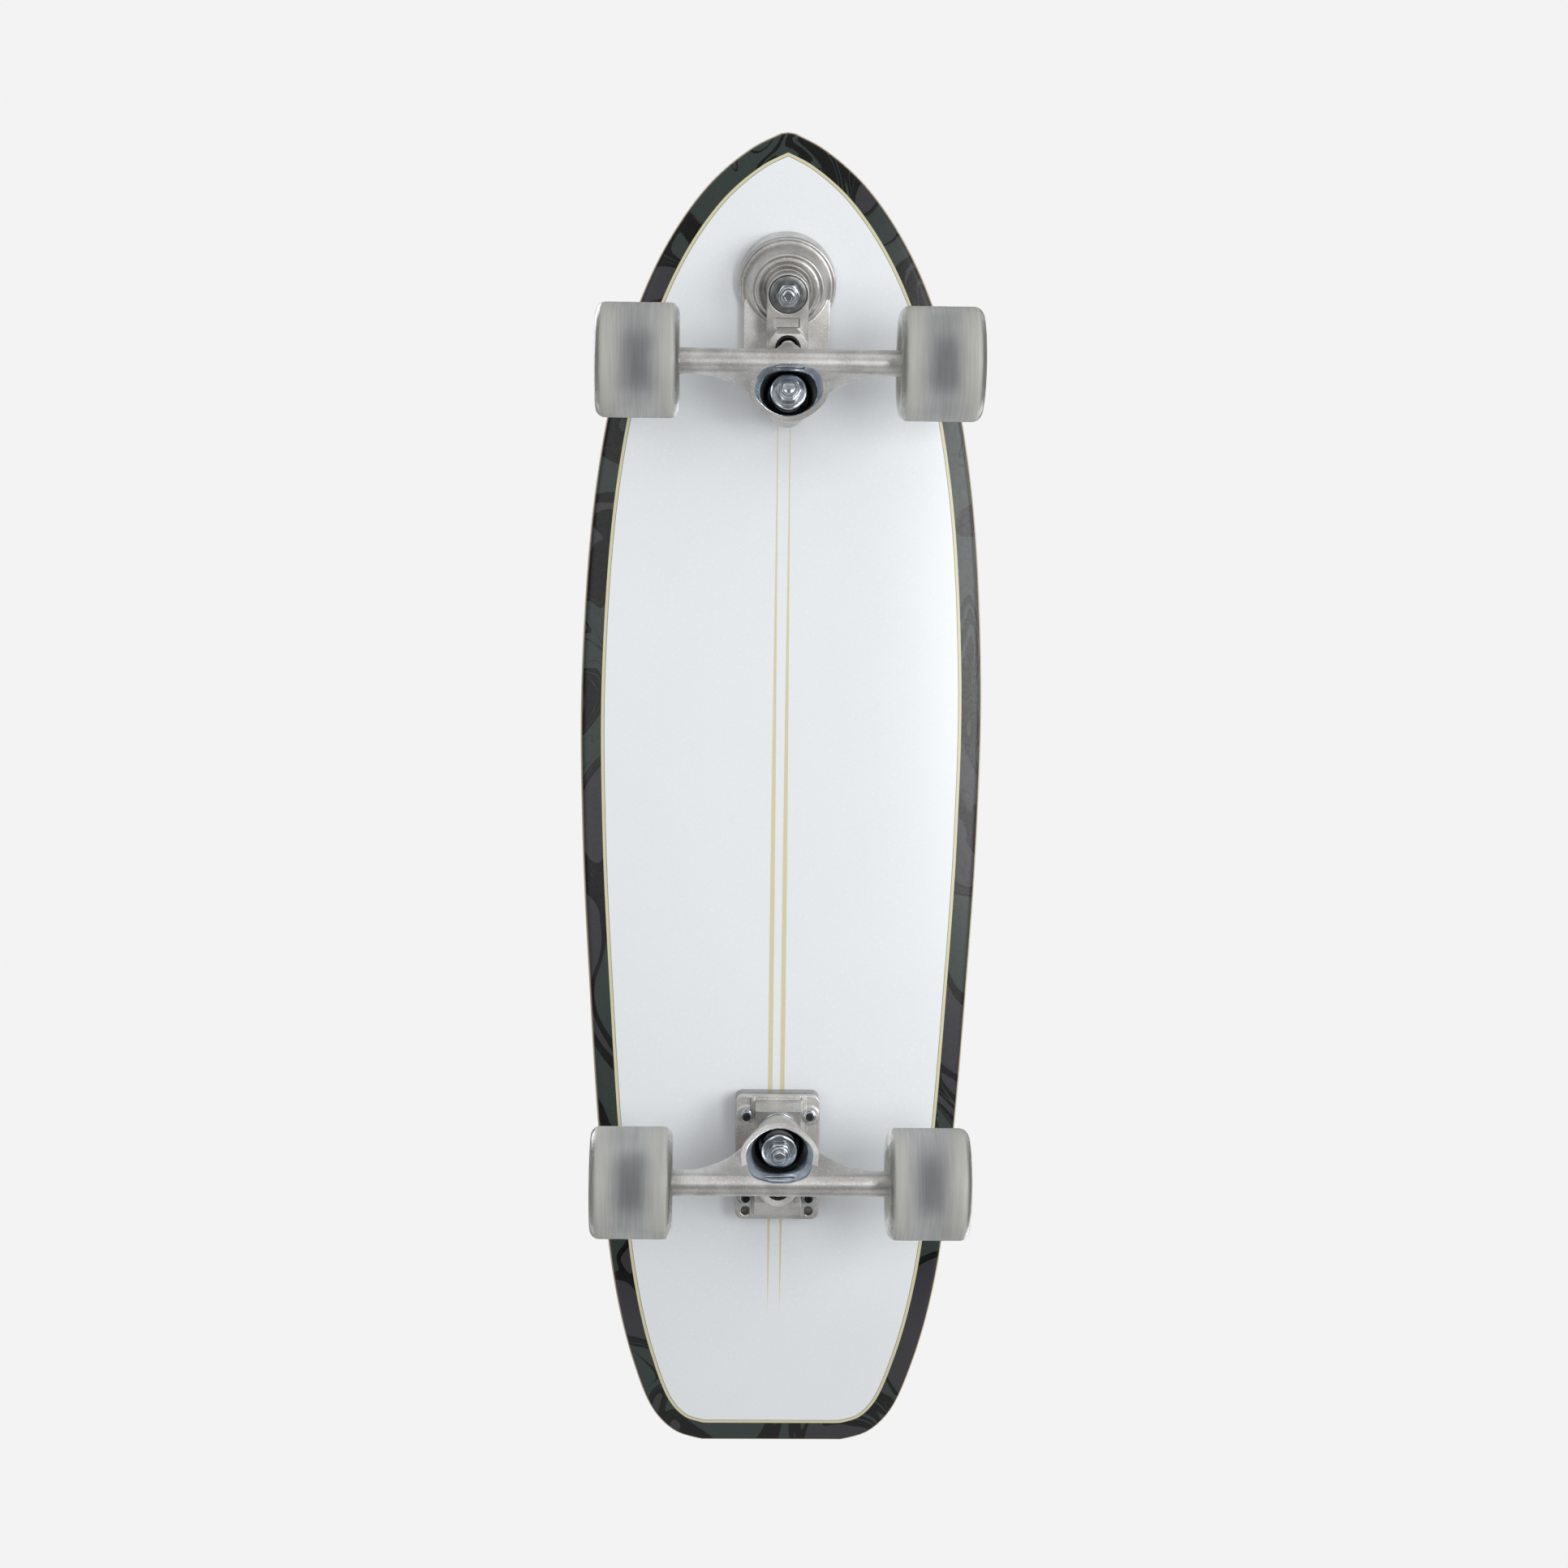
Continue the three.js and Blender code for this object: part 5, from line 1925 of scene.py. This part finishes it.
    def piece(self, name: str, kingpin: Matrix, pivot: Matrix) -> Piece:
        """Makes the casting.

        Args:
            name: the piece's name.
            kingpin: the kingpin's frame.
            pivot: the pivot's frame.

        Returns:
            The hanger in its truck's frame.
        """
        top = self.kingpin_circle(kingpin, self.ring_radius, self.ring_from)
        crown = Shell.lofted([top, self.rim_ring(1, self.wall)])
        ball = [(5.2 * math.sin(a), -5.2 * math.cos(a)) for a in np.linspace(0, 2.1, 12)]
        stem = Shell.turned([*ball, (4.6, 3.0), (4.6, 6.0), (5.2, 13.0), (0, 13.0)], 48).moved(pivot)
        floor = self.kingpin_circle(kingpin, self.bowl_floor, self.ring_to)
        belly = floor + (self.rim_ring(2, 0) - floor) * self.belly
        throat = floor + (self.rim_ring(3, 0) - floor) * self.throat
        rim = self.rim_ring(1, 0)
        beyond = rim - (0, 0, 16)
        bowl = Shell.lofted([floor, belly, throat, rim, beyond])
        hole = Shell.disc(self.ring_bore, 0, 60, 64).moved(kingpin)
        bore = Shell.disc(self.axle_bore, -110, 110, 48).moved(across_frame(self.axle))
        adds = [self.wings(), crown, self.neck_shell(), stem]
        piece = poured(name, adds, [bowl, hole, bore], 0.36, 3)
        return self.machined_and_shade_depth(piece, bowl, kingpin)

    def machined_and_shade_depth(self, piece: Piece, bowl: Shell, kingpin: Matrix) -> Piece:
        """Keeps on the mesh how deep in the bowl each point lies, for the machined wall tone and the painted
        shade deep in the bowl.

        Args:
            piece: the casting.
            bowl: the shell that was cut out of it.
            kingpin: the kingpin's frame.

        Returns:
            The casting.
        """
        places = vertex_places(piece.data)
        back = np.array(kingpin.inverted())
        local = places @ back[:3, :3].T + back[:3, 3]
        near = np.hypot(local[:, 0], local[:, 1]) < 30
        near &= local[:, 2] > self.ring_to - 1
        wall = BVHTree.FromPolygons(bowl.points.tolist(), bowl.faces)
        depth = np.zeros(len(places))
        for i in np.flatnonzero(near):
            off = wall.find_nearest(Vector(places[i]))[3]
            if off is not None and off < 0.45:
                # deeper points get more painted shade in the casting's finish
                depth[i] = min(1.0, max(0.25, 1 - (local[i, 2] - self.ring_to) / 22))
        keep_fact(piece.data, "machined_and_shade_depth", depth)
        return piece


@dataclass
class KingpinStack:
    """What sits on the kingpin, measured from its seat towards the road."""

    washer_radius: float = 12.3
    washer_low: float = 0.3
    washer_high: float = 2.1
    bore: float = 5.15
    board_start: float = 2.4
    board_height: float = 13.5
    road_start: float = 22.5
    road_height: float = 11.0
    cup_start: float = 33.8
    nut_start: float = 36.0
    nut_radius: float = 8.2
    nut_height: float = 5.6
    nut_bore: float = 4.9
    head_low: float = -14.1
    head_high: float = -8.3
    pin_radius: float = 4.76
    pin_start: float = -11.2
    thread_start: float = 32.0
    thread_pitch: float = 1.25
    tip: float = 46.1

    def build(self, end: str, body: str, hanger: str, frame: Matrix) -> None:
        """Builds kingpin, washers, bushings and nut.

        Args:
            end: front or rear.
            body: the body that holds the kingpin.
            hanger: the body that turns on the bushings; not used.
            frame: the kingpin's frame in the board's frame.
        """
        thread = threaded(self.pin_radius, self.thread_start, self.tip - 1, self.thread_pitch)
        shank = [
            (0, self.pin_start), (self.pin_radius, self.pin_start), (self.pin_radius, self.thread_start),
            *thread, (3.9, self.tip), (0, self.tip),
        ]
        head = Shell.disc(self.nut_radius, self.head_low, self.head_high, 6)
        pin = bevelled(fused(f"{end}_kingpin_bolt", [head, Shell.turned(shank, 64)]), 0.2, 1)
        shown(moved(pin, frame), body, ZINC, [f"{end}_kingpin"])

        sizes = (self.bore, self.washer_radius, self.washer_low, self.washer_high)
        washer = flat_washer(f"{end}_flat_washer", *sizes)
        shown(moved(washer, frame), body, ZINC, [f"{end}_board_side_washer"])

        low, high = self.cup_start, self.cup_start + 1.9
        cup = [
            (self.bore, low), (9.6, low), (10.5, low - 0.5), (10.7, low - 1.6), (11.7, low - 1.6),
            (11.7, low + 0.2), (11.2, high - 0.4), (10.2, high), (self.bore, high),
        ]
        washer = bevelled(Shell.turned(cup).made(f"{end}_cup_washer"), 0.25)
        shown(moved(washer, frame), body, ZINC, [f"{end}_road_side_washer"])

        nut = hex_nut(f"{end}_kingpin_lock_nut", self.nut_radius, self.nut_height, self.nut_bore)
        nut = moved(nut, frame @ Matrix.Translation((0, 0, self.nut_start)))
        shown(nut, body, ZINC, [f"{end}_kingpin_nut"])
        self.bushings(end, frame)

    def bushings(self, end: str, frame: Matrix) -> None:
        """Builds the two bushings.

        Args:
            end: front or rear.
            frame: the kingpin's frame in the board's frame.
        """
        steps = np.linspace(0.06, 0.94, 12)
        low, high = self.board_start, self.board_start + self.board_height
        barrel = [(11.6 + 0.4 * math.sin(math.pi * t), low + (high - low) * t) for t in steps]
        flank = [(11.0, low), *barrel, (11.0, high)]
        self.bushing(f"{end}_board", flank, frame, (low, high))

        low, high = self.road_start, self.road_start + self.road_height
        cone = [(10.3 - 0.9 * t, low + (high - low) * t) for t in steps]
        flank = [(9.8, low), *cone, (8.9, high)]
        self.bushing(f"{end}_road", flank, frame, (high, low))

    def bushing(
        self, stem: str, flank: Sequence[Point], frame: Matrix, ends: Point
    ) -> None:
        """Makes one bushing, which sits between two bodies.

        Args:
            stem: start of its name and of its node's name.
            flank: profile of its outside, from its low to its high face.
            frame: the kingpin's frame in the board's frame.
            ends: where each body holds it, along the kingpin.
        """
        name, node = f"{stem}_bushing", f"{stem}_side_bushing"
        low, high = min(ends), max(ends)
        bore = [(self.bore, h) for h in np.linspace(high - 1, low + 1, 8)]
        profile = [(self.bore, low), *flank, (self.bore, high), *bore]
        piece = rounded_shading(moved(Shell.turned(profile, 72).made(name), frame), 50)
        piece.data.materials.append(BUSHING.material())
        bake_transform(piece)
        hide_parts(node)


@dataclass
class Truck:
    """One truck with its hanger, axle, kingpin stack and two wheels."""

    end: str
    axle_y: float
    turn: float
    body: str
    kingpin_inboard: float = 24.7
    kingpin_height: float = 83.5
    kingpin_lean: float = 12.0
    kingpin_bore: float = 5.15
    kingpin_pocket: float = 9.3
    pivot_outboard: float = 12.0
    pivot_height: float = 78.0
    pivot_lean: float = -8.0
    seat_radius: float = 12.3
    cup_boss: float = 12.4
    cup_bore: float = 7.8
    cup_radius: float = 7.4
    axle_radius: float = 3.97
    thread_start: float = 105.8
    thread_end: float = 114.6
    thread_pitch: float = 1.2
    axle_end: float = 115.5

    @property
    def place(self) -> Matrix:
        """Frame of the truck on the board."""
        return Matrix.Translation((0, self.axle_y, 0)) @ Matrix.Rotation(self.turn, 4, "Z")

    @property
    def kingpin(self) -> Matrix:
        """Frame of the kingpin in the truck."""
        return leaning(-self.kingpin_inboard, self.kingpin_height, self.kingpin_lean)

    @property
    def pivot(self) -> Matrix:
        """Frame of the pivot in the truck."""
        return leaning(self.pivot_outboard, self.pivot_height, self.pivot_lean)

    def boss(self) -> list[Shell]:
        """Returns the boss of the pivot cup, and the tool that bores it."""
        bars = (Shell.disc(self.cup_boss, -13, 6), Shell.disc(self.cup_bore, -7.7, 20))
        return [bar.moved(self.pivot) for bar in bars]

    def kingpin_tools(self) -> list[Shell]:
        """Returns the tools that bore the seat for the kingpin and its head."""
        bars = (Shell.disc(self.kingpin_bore, -20, 20, 64), Shell.disc(self.kingpin_pocket, -49, -8, 64))
        return [bar.moved(self.kingpin) for bar in bars]

    def axle(self) -> None:
        """Builds the axle rod with its threaded ends."""
        thread = threaded(self.axle_radius, self.thread_start, self.thread_end, self.thread_pitch)
        half = [*thread, (3.2, self.axle_end)]
        other = [(r, -h) for r, h in reversed(half)]
        rod = Shell.turned([(0, -self.axle_end), *other, *half, (0, self.axle_end)], 48)
        frame = across_frame(LAYOUT.axle_height)
        piece = rounded_shading(rod.moved(frame).made(f"{self.end}_axle_rod"), 40)
        moved(piece, self.place)
        shown(piece, f"{self.end}_hanger", ZINC, [f"{self.end}_axle"])

    def cup(self) -> None:
        """Builds the rubber pivot cup."""
        ball = [(5.5 * math.cos(a), -5.5 * math.sin(a)) for a in np.linspace(0, math.pi / 2, 10)]
        profile = [(0, -7.4), (self.cup_radius, -7.4), (self.cup_radius, 6.0), (6.5, 6.0), *ball]
        piece = bevelled(Shell.turned(profile, 72).made(f"{self.end}_rubber_cup"), 0.3)
        moved(piece, self.place @ self.pivot)
        shown(piece, self.body, RUBBER, [f"{self.end}_pivot_cup"])

    def build(self, hanger: Piece) -> None:
        """Builds the truck round its hanger.

        Args:
            hanger: the casting, in the truck's frame.
        """
        moved(hanger, self.place)
        shown(hanger, f"{self.end}_hanger", CASTING, [f"{self.end}_hanger"])
        self.axle()
        self.cup()
        stack = KingpinStack()
        stack.build(self.end, self.body, f"{self.end}_hanger", self.place @ self.kingpin)
        wheel = Wheel()
        for side, sign in (("left", 1), ("right", -1)):
            out = Vector((sign, 0, 0))
            up = Vector((0, 0, 1))
            frame = Matrix((up.cross(out), up, out)).transposed().to_4x4()
            frame.translation = Vector((sign * LAYOUT.wheel_inner, self.axle_y, LAYOUT.axle_height))
            wheel.build(self.end, side, frame, f"{self.end}_hanger")

    def seat(self, offset: float) -> Point:
        """Works out a place on the kingpin's seat.

        Args:
            offset: how far outboard of its middle the place is.

        Returns:
            The place's y and z.
        """
        angle = math.radians(self.kingpin_lean)
        y = -self.kingpin_inboard + offset * math.cos(angle)
        return (y, self.kingpin_height + offset * math.sin(angle))


@dataclass
class RearBase(Truck):
    """The rear truck with its tall baseplate."""

    half: float = 27.4
    inboard: float = -45.5
    outboard: float = 36.5
    thickness: float = 6.5
    top: float = 99.7
    riser_low: float = 100.0
    riser_high: float = 114.2
    block: float = 15.0
    corner: float = 5.0
    pad_radius: float = 6.2
    spare_row: float = 31.0

    @property
    def bolt_rows(self) -> list[float]:
        """Places of the two rows of bolts along the truck."""
        middle, half = LAYOUT.rear_bolts - self.axle_y, LAYOUT.bolts_along / 2
        return [middle - half, middle + half]

    def outline(self) -> list[Point]:
        """Returns the outline that baseplate and riser pad share."""
        return rounded_box(-self.half, self.half, self.inboard, self.outboard, self.corner)

    def holes(self, low: float, high: float) -> list[Shell]:
        """Returns the tools that bore all six bolt holes."""
        return on_bolts(Shell.disc(LAYOUT.bolt_hole, low, high, 32), [*self.bolt_rows, self.spare_row])

    def baseplate(self) -> None:
        """Makes the cast baseplate."""
        road = self.top - self.thickness
        plate = Shell.drawn(self.outline(), road, self.top)
        block = Shell.sideways(
            [
                (-42.5, road + 3), (-42.5, road - 0.3), (-37.4, self.seat(-12.7)[1]),
                self.seat(self.seat_radius), (0, 78.0), (22.5, 78.5), (34.5, road - 0.3), (34.5, road + 3),
            ],
            self.block,
        )
        side = [(-44, road + 1), (-44, road - 1.2), (34.5, road - 1.2), (34.5, road + 1)]
        rib = Shell.sideways(side, 1.3)
        ribs = [rib.moved(Matrix.Translation((at, 0, 0))) for at in (-16.6, 16.6)]
        pads = on_bolts(Shell.disc(self.pad_radius, road - 0.5, road + 1, 48), self.bolt_rows)
        seat = Shell.disc(self.seat_radius, -10, 0).moved(self.kingpin)
        boss, bore = self.boss()
        above = Shell.drawn([(-90, -90), (90, -90), (90, 90), (-90, 90)], self.top, self.top + 60)
        adds = [plate, block, *ribs, *pads, seat, boss]
        cuts = [above, bore, *self.kingpin_tools(), *self.holes(road - 10, self.top + 10)]
        piece = poured("rear_cast_baseplate", adds, cuts, 0.34, 2)
        moved(piece, self.place)
        shown(piece, self.body, CASTING, ["rear_baseplate"])

    def riser(self) -> None:
        """Makes the see-through riser pad between baseplate and deck."""
        pad = Shell.drawn(self.outline(), self.riser_low, self.riser_high)
        holes = self.holes(self.riser_low - 5, self.riser_high + 5)
        piece = bevelled(fused("rear_clear_riser", [pad], holes), 0.4)
        moved(piece, self.place)
        shown(piece, self.body, PAD, ["rear_riser_pad"])


@dataclass
class SwingTruck(Truck):
    """The front truck with its housing and sprung swing arm."""

    swing_outboard: float = 45.3
    swing_height: float = 80.5
    swing_lean: float = -17.0
    arm_half: float = 13.4
    arm_thickness: float = 10.0
    arm_gap: float = 11.9
    bolt_bore: float = 5.35
    bolt_radius: float = 4.9
    bolt_start: float = -27.5
    bolt_tip: float = 9.0
    washer_radius: float = 11.9
    washer_height: float = 2.5
    nut_start: float = 0.3
    nut_radius: float = 7.8
    nut_height: float = 5.0
    nut_bore: float = 5.05
    housing_top: float = 114.2
    housing_half: float = 27.8
    housing_thickness: float = 9.3
    dome_top: float = -12.6
    dome_bore: float = 9.4
    dome_hollow: float = 14.5
    spring_wire: float = 1.2
    spring_radius: float = 12.0
    spring_pitch: float = 2.9
    spring_turns: int = 3
    spring_floor: float = -23.1
    housing_body: str = Body.BOARD.value

    @property
    def swing(self) -> Matrix:
        """Frame of the swing axis in the truck."""
        return leaning(self.swing_outboard, self.swing_height, self.swing_lean)

    def on_arm(self, inboard: float, along: float) -> Point:
        """Returns a place on the arm's middle plane."""
        place = self.swing @ Vector((0, inboard, along))
        return (place.y, place.z)

    def housing(self) -> None:
        """Makes the domed housing on its flat base."""
        top = self.dome_top
        line = [
            (self.dome_bore, top + 2.3), (12.9, top + 2.3), (12.9, top), (13.6, top - 0.2), (14.4, top - 2.2),
            (15.4, top - 3.9), (16.4, top - 3.7), (17.2, top - 2.2), (18.2, top - 0.8), (19.3, top - 0.4),
            (20.4, top - 1.2), (21.4, top - 0.7), (22.4, top + 0.1), (23.2, top - 0.2), (24.0, top - 1.9),
            (24.7, top - 4.2), (25.5, top - 6.9), (26.4, top - 9.6), (27.4, top - 11.9), (28.4, top - 13.1),
            (29.3, top - 13.2), (30.2, top - 12.5), (31.0, top - 12.8), (31.7, top - 14.3), (31.7, top - 36),
            (self.dome_hollow, top - 36), (self.dome_hollow, top - 9), (self.dome_bore, top - 9),
        ]
        dome = Shell.turned(line, 128).moved(self.swing)
        hollow = Shell.disc(self.dome_hollow, top - 36, top - 9).moved(self.swing)
        bore = Shell.disc(self.dome_bore, top - 36, 0).moved(self.swing)
        deck_side = self.housing_top
        outline = rounded_box(-self.housing_half, self.housing_half, -6.5, self.swing_outboard, 4.0)
        base = Shell.drawn(outline, deck_side - self.housing_thickness, deck_side)
        above = Shell.drawn([(-90, -90), (90, -90), (90, 140), (-90, 140)], deck_side, deck_side + 60)
        middle, half = self.axle_y - LAYOUT.front_bolts, LAYOUT.bolts_along / 2
        bar = Shell.disc(LAYOUT.bolt_hole, deck_side - 7, deck_side + 10, 32)
        holes = on_bolts(bar, [middle - half, middle + half])
        piece = poured("front_domed_housing", [dome, base], [above, hollow, bore, *holes], 0.34, 3)
        moved(piece, self.place)
        shown(piece, self.housing_body, CASTING, ["front_housing"])

    def arm(self) -> None:
        """Makes the swing arm with its hub, seat and pivot boss."""
        deck_side, deck = -self.arm_thickness, 114.5
        level = deck - self.arm_gap
        axis_y, axis_z = self.on_arm(0, deck_side)
        bend_y = axis_y - (level - axis_z) / math.tan(math.radians(-self.swing_lean))
        bar = Shell.sideways(
            [
                self.on_arm(0, 0), self.on_arm(30, 0), self.seat(self.seat_radius), self.seat(-self.arm_half),
                (-37.0, 96.5), (-self.kingpin_inboard, level), (bend_y, level), (axis_y, axis_z),
            ],
            self.arm_half,
        )
        eye = Shell.disc(self.arm_half, deck_side, 0).moved(self.swing)
        hub = Shell.disc(9.0, -24.5, -5).moved(self.swing)
        seat = Shell.disc(self.seat_radius, -8, 0).moved(self.kingpin)
        above = rounded_box(-self.arm_half, self.arm_half, -37.0, 58.7, self.arm_half - 0.05)
        bar = Shell.of(worked(bar.made("bar"), Shell.drawn(above, LAYOUT.axle_height, deck), Cut.KEEP))
        bore = Shell.disc(self.bolt_bore, -44, 20, 64).moved(self.swing)
        well = Shell.disc(12.3, -2.8, 20).moved(self.swing)
        groove = Shell.turned([(6.6, -3.6), (8.6, -3.6), (8.6, 10), (6.6, 10)]).moved(self.swing)
        plain = rounded_box(-8.4, 8.4, 15.3, 21.3, 1.6)
        waisted = [(x * (0.86 + 0.14 * ((y - 18.3) / 3) ** 2), y) for x, y in plain]
        recess = Shell.drawn(waisted, -1.7, 20).moved(self.swing)
        boss, cup_bore = self.boss()
        adds = [bar, eye, hub, seat, boss]
        cuts = [bore, well, groove, recess, cup_bore, *self.kingpin_tools()]
        piece = poured("front_cast_arm", adds, cuts, 0.32, 3)
        moved(piece, self.place)
        shown(piece, self.body, CASTING, ["front_swing_arm"])

    def spring(self) -> None:
        """Makes the centring spring, wound round the hub inside the housing."""
        steps, sides = 40, 16
        rings = []
        for i in range(self.spring_turns * steps + 1):
            turn = 2 * math.pi * i / steps
            middle = Vector((math.cos(turn), math.sin(turn), 0))
            height = self.spring_floor - self.spring_pitch * i / steps
            ring = []
            for j in range(sides):
                lean = 2 * math.pi * j / sides
                place = middle * (self.spring_radius + self.spring_wire * math.cos(lean))
                ring.append((place.x, place.y, height + self.spring_wire * math.sin(lean)))
            rings.append(np.array(ring))
        piece = rounded_shading(Shell.lofted(rings).made("front_coil_spring"), 50)
        moved(piece, self.place @ self.swing)
        shown(piece, self.housing_body, SPRING_STEEL, ["front_centring_spring"])

    def hardware(self) -> None:
        """Builds the pivot bolt, its washer and its nut."""
        frame = self.place @ self.swing
        start, tip = self.bolt_start, self.bolt_tip
        thread = threaded(self.bolt_radius, -2, tip - 0.8, 1.25)
        shank = [
            (0, start), (self.bolt_radius, start), (self.bolt_radius, -2), *thread, (4.0, tip), (0, tip),
        ]
        head = Shell.disc(8.4, -30.3, -24.8, 6)
        socket = Shell.disc(2.6, tip - 4, tip + 9, 6)
        bolt = bevelled(fused("front_pivot_screw", [head, Shell.turned(shank, 64)], [socket]), 0.2, 1)
        shown(moved(bolt, frame), self.body, ZINC, ["front_pivot_bolt"])
        sizes = (self.bolt_bore, self.washer_radius, -self.washer_height, 0)
        washer = flat_washer("front_pivot_flat_washer", *sizes)
        shown(moved(washer, frame), self.body, DULL_STEEL, ["front_pivot_washer"])
        nut = hex_nut("front_pivot_lock_nut", self.nut_radius, self.nut_height, self.nut_bore)
        nut = moved(nut, frame @ Matrix.Translation((0, 0, self.nut_start)))
        shown(nut, self.body, ZINC, ["front_pivot_nut"])


# Studio


@dataclass(frozen=True)
class Lamp:
    """A flat lamp that looks at the board.

    Args:
        name: its name.
        place: where it hangs, in metres.
        size: its length along the board and its width across, in metres.
        power: its power, in watts.
    """

    name: str
    place: Place
    size: Point
    power: float

    def hung(self, target: Vector) -> None:
        """Hangs the lamp, which is not seen through the wheels.

        Args:
            target: the place it looks at, in metres.
        """
        light = bpy.data.lights.new(self.name, "AREA")
        light.shape = "RECTANGLE"
        light.size, light.size_y = self.size
        light.energy = self.power
        lamp = bpy.data.objects.new(self.name, light)
        lamp.visible_transmission = False
        lamp.location = self.place
        lamp.rotation_euler = (target - Vector(self.place)).to_track_quat("-Z", "Y").to_euler()
        bpy.context.scene.collection.objects.link(lamp)


LAMPS = (
    Lamp("under_right", (0.78, -0.15, -1.85), (0.95, 0.45), 12.0),
    Lamp("under_left", (-0.65, -0.1, -1.9), (1.0, 0.5), 3.0),
    Lamp("under_side", (2.1, -0.5, -1.6), (1.4, 1.2), 28.0),
    Lamp("under_nose", (-0.3, -1.9, -1.5), (3.0, 3.0), 9.0),
    Lamp("over_left", (-1.4, -1.0, 2.0), (1.6, 1.6), 30.0),
    Lamp("over_right", (1.5, 1.2, 1.7), (1.6, 1.6), 18.0),
)


@dataclass
class Studio:
    """Floor, lamps, world and the camera of the underside view."""

    foot: Point = (-52.77, -168.98)
    height: float = -1775.7
    focal: float = 3568.6
    picture: float = 1932.0
    tilt: Place = (0.081, 0.029, -0.012)
    sensor: float = 36.0
    target: Place = (0.0, 0.0, 0.1)
    floor_half: float = 4000.0
    fill: float = 0.45
    pale: float = 0.896
    bands: tuple[Point, ...] = ((0.0, 0.2), (0.4, 0.75), (0.62, 0.7), (0.82, 0.14), (1.0, 0.14))

    def camera(self) -> None:
        """Sets the camera where the underside of the board was seen from."""
        a, b, c = self.tilt
        turn = Matrix.Rotation(c, 3, "Z") @ Matrix.Rotation(a, 3, "X") @ Matrix.Rotation(b, 3, "Y")
        rows = [Vector((row[0], -row[1], -row[2])) for row in turn]
        matrix = Matrix(rows).transposed().to_4x4()
        matrix.translation = Vector((*self.foot, self.height)) * MM
        lens = bpy.data.cameras.new("camera")
        lens.sensor_width = self.sensor
        lens.lens = self.sensor * self.focal / self.picture
        lens.clip_start = 0.05
        lens.clip_end = 30.0
        camera = bpy.data.objects.new("camera", lens)
        camera.matrix_world = matrix
        bpy.context.scene.collection.objects.link(camera)
        bpy.context.scene.camera = camera

    def floor(self) -> None:
        """Lays a pale floor that is clear from below."""
        low, high = -self.floor_half, self.floor_half
        corners = [(low, low, 0), (high, low, 0), (high, high, 0), (low, high, 0)]
        floor = Shell(np.array(corners, float), [(0, 1, 2, 3)]).made("floor")
        paint = Paint("pale_floor")
        paint.done(Base_Color=(0.86, 0.86, 0.86), Roughness=0.9)
        path = paint.add("ShaderNodeLightPath")
        side = paint.add("ShaderNodeNewGeometry")
        front = paint.sum("SUBTRACT", 1.0, side.outputs["Backfacing"])
        away = paint.add("ShaderNodeVectorMath", {"operation": "LENGTH"})
        paint.feed(away.inputs[0], paint.place)
        near = paint.step(away.outputs["Value"], 2.6, 0.9)
        seen = paint.sum("MULTIPLY", path.outputs["Is Camera Ray"], paint.sum("MULTIPLY", front, near))
        mix = paint.add("ShaderNodeMixShader")
        clear = paint.add("ShaderNodeBsdfTransparent").outputs[0]
        for index, value in enumerate((seen, clear, paint.shader.outputs[0])):
            paint.feed(mix.inputs[index], value)
        paint.feed(paint.tree.nodes["Material Output"].inputs["Surface"], mix.outputs[0])
        floor.data.materials.append(paint.material)

    def world(self) -> None:
        """Lights the room evenly, keeps the background near white and gives metal soft bands to mirror."""
        world = bpy.data.worlds.new("room")
        world.use_nodes = True
        tree = Wiring(world.node_tree)
        path = tree.add("ShaderNodeLightPath").outputs
        seen = tree.sum("MAXIMUM", path["Is Camera Ray"], path["Is Transmission Ray"])
        plain = tree.between(seen, self.fill, self.pale)
        way = tree.add("ShaderNodeTexCoord").outputs["Generated"]
        tall = tree.sum("ABSOLUTE", tree.add("ShaderNodeSeparateXYZ", None, Vector=way).outputs["Z"])
        bands = tree.add("ShaderNodeValToRGB", None, Fac=tall)
        line = bands.color_ramp
        for at, level in self.bands[1:-1]:
            line.elements.new(at)
        for element, (at, level) in zip(line.elements, self.bands):
            element.position = at
            element.color = (level, level, level, 1)
        room = world.node_tree.nodes["Background"]
        room.inputs["Color"].default_value = (1, 1, 1, 1)
        level = tree.between(path["Is Glossy Ray"], plain, bands.outputs[0])
        tree.feed(room.inputs["Strength"], level)
        bpy.context.scene.world = world

    def build(self) -> None:
        """Builds the studio."""
        self.world()
        self.floor()
        for lamp in LAMPS:
            lamp.hung(Vector(self.target))
        self.camera()
        bpy.context.scene.view_settings.view_transform = "Standard"


def main() -> None:
    """Builds the board's looks in order."""
    logging.basicConfig(level=logging.INFO, format="%(name)s: %(message)s")
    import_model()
    Deck().build()
    DeckBolts().build()
    rear = RearBase("rear", LAYOUT.rear_axle, 0.0, Body.BOARD.value)
    front = SwingTruck("front", LAYOUT.front_axle, math.pi, Body.FRONT_ARM.value)
    casting = Hanger().piece("rear_cast_hanger", rear.kingpin, rear.pivot)
    twin = copied(casting, "front_cast_hanger")
    rear.build(casting)
    rear.baseplate()
    rear.riser()
    front.build(twin)
    front.housing()
    front.arm()
    front.spring()
    front.hardware()
    Studio().build()


if __name__ == "__main__":
    main()
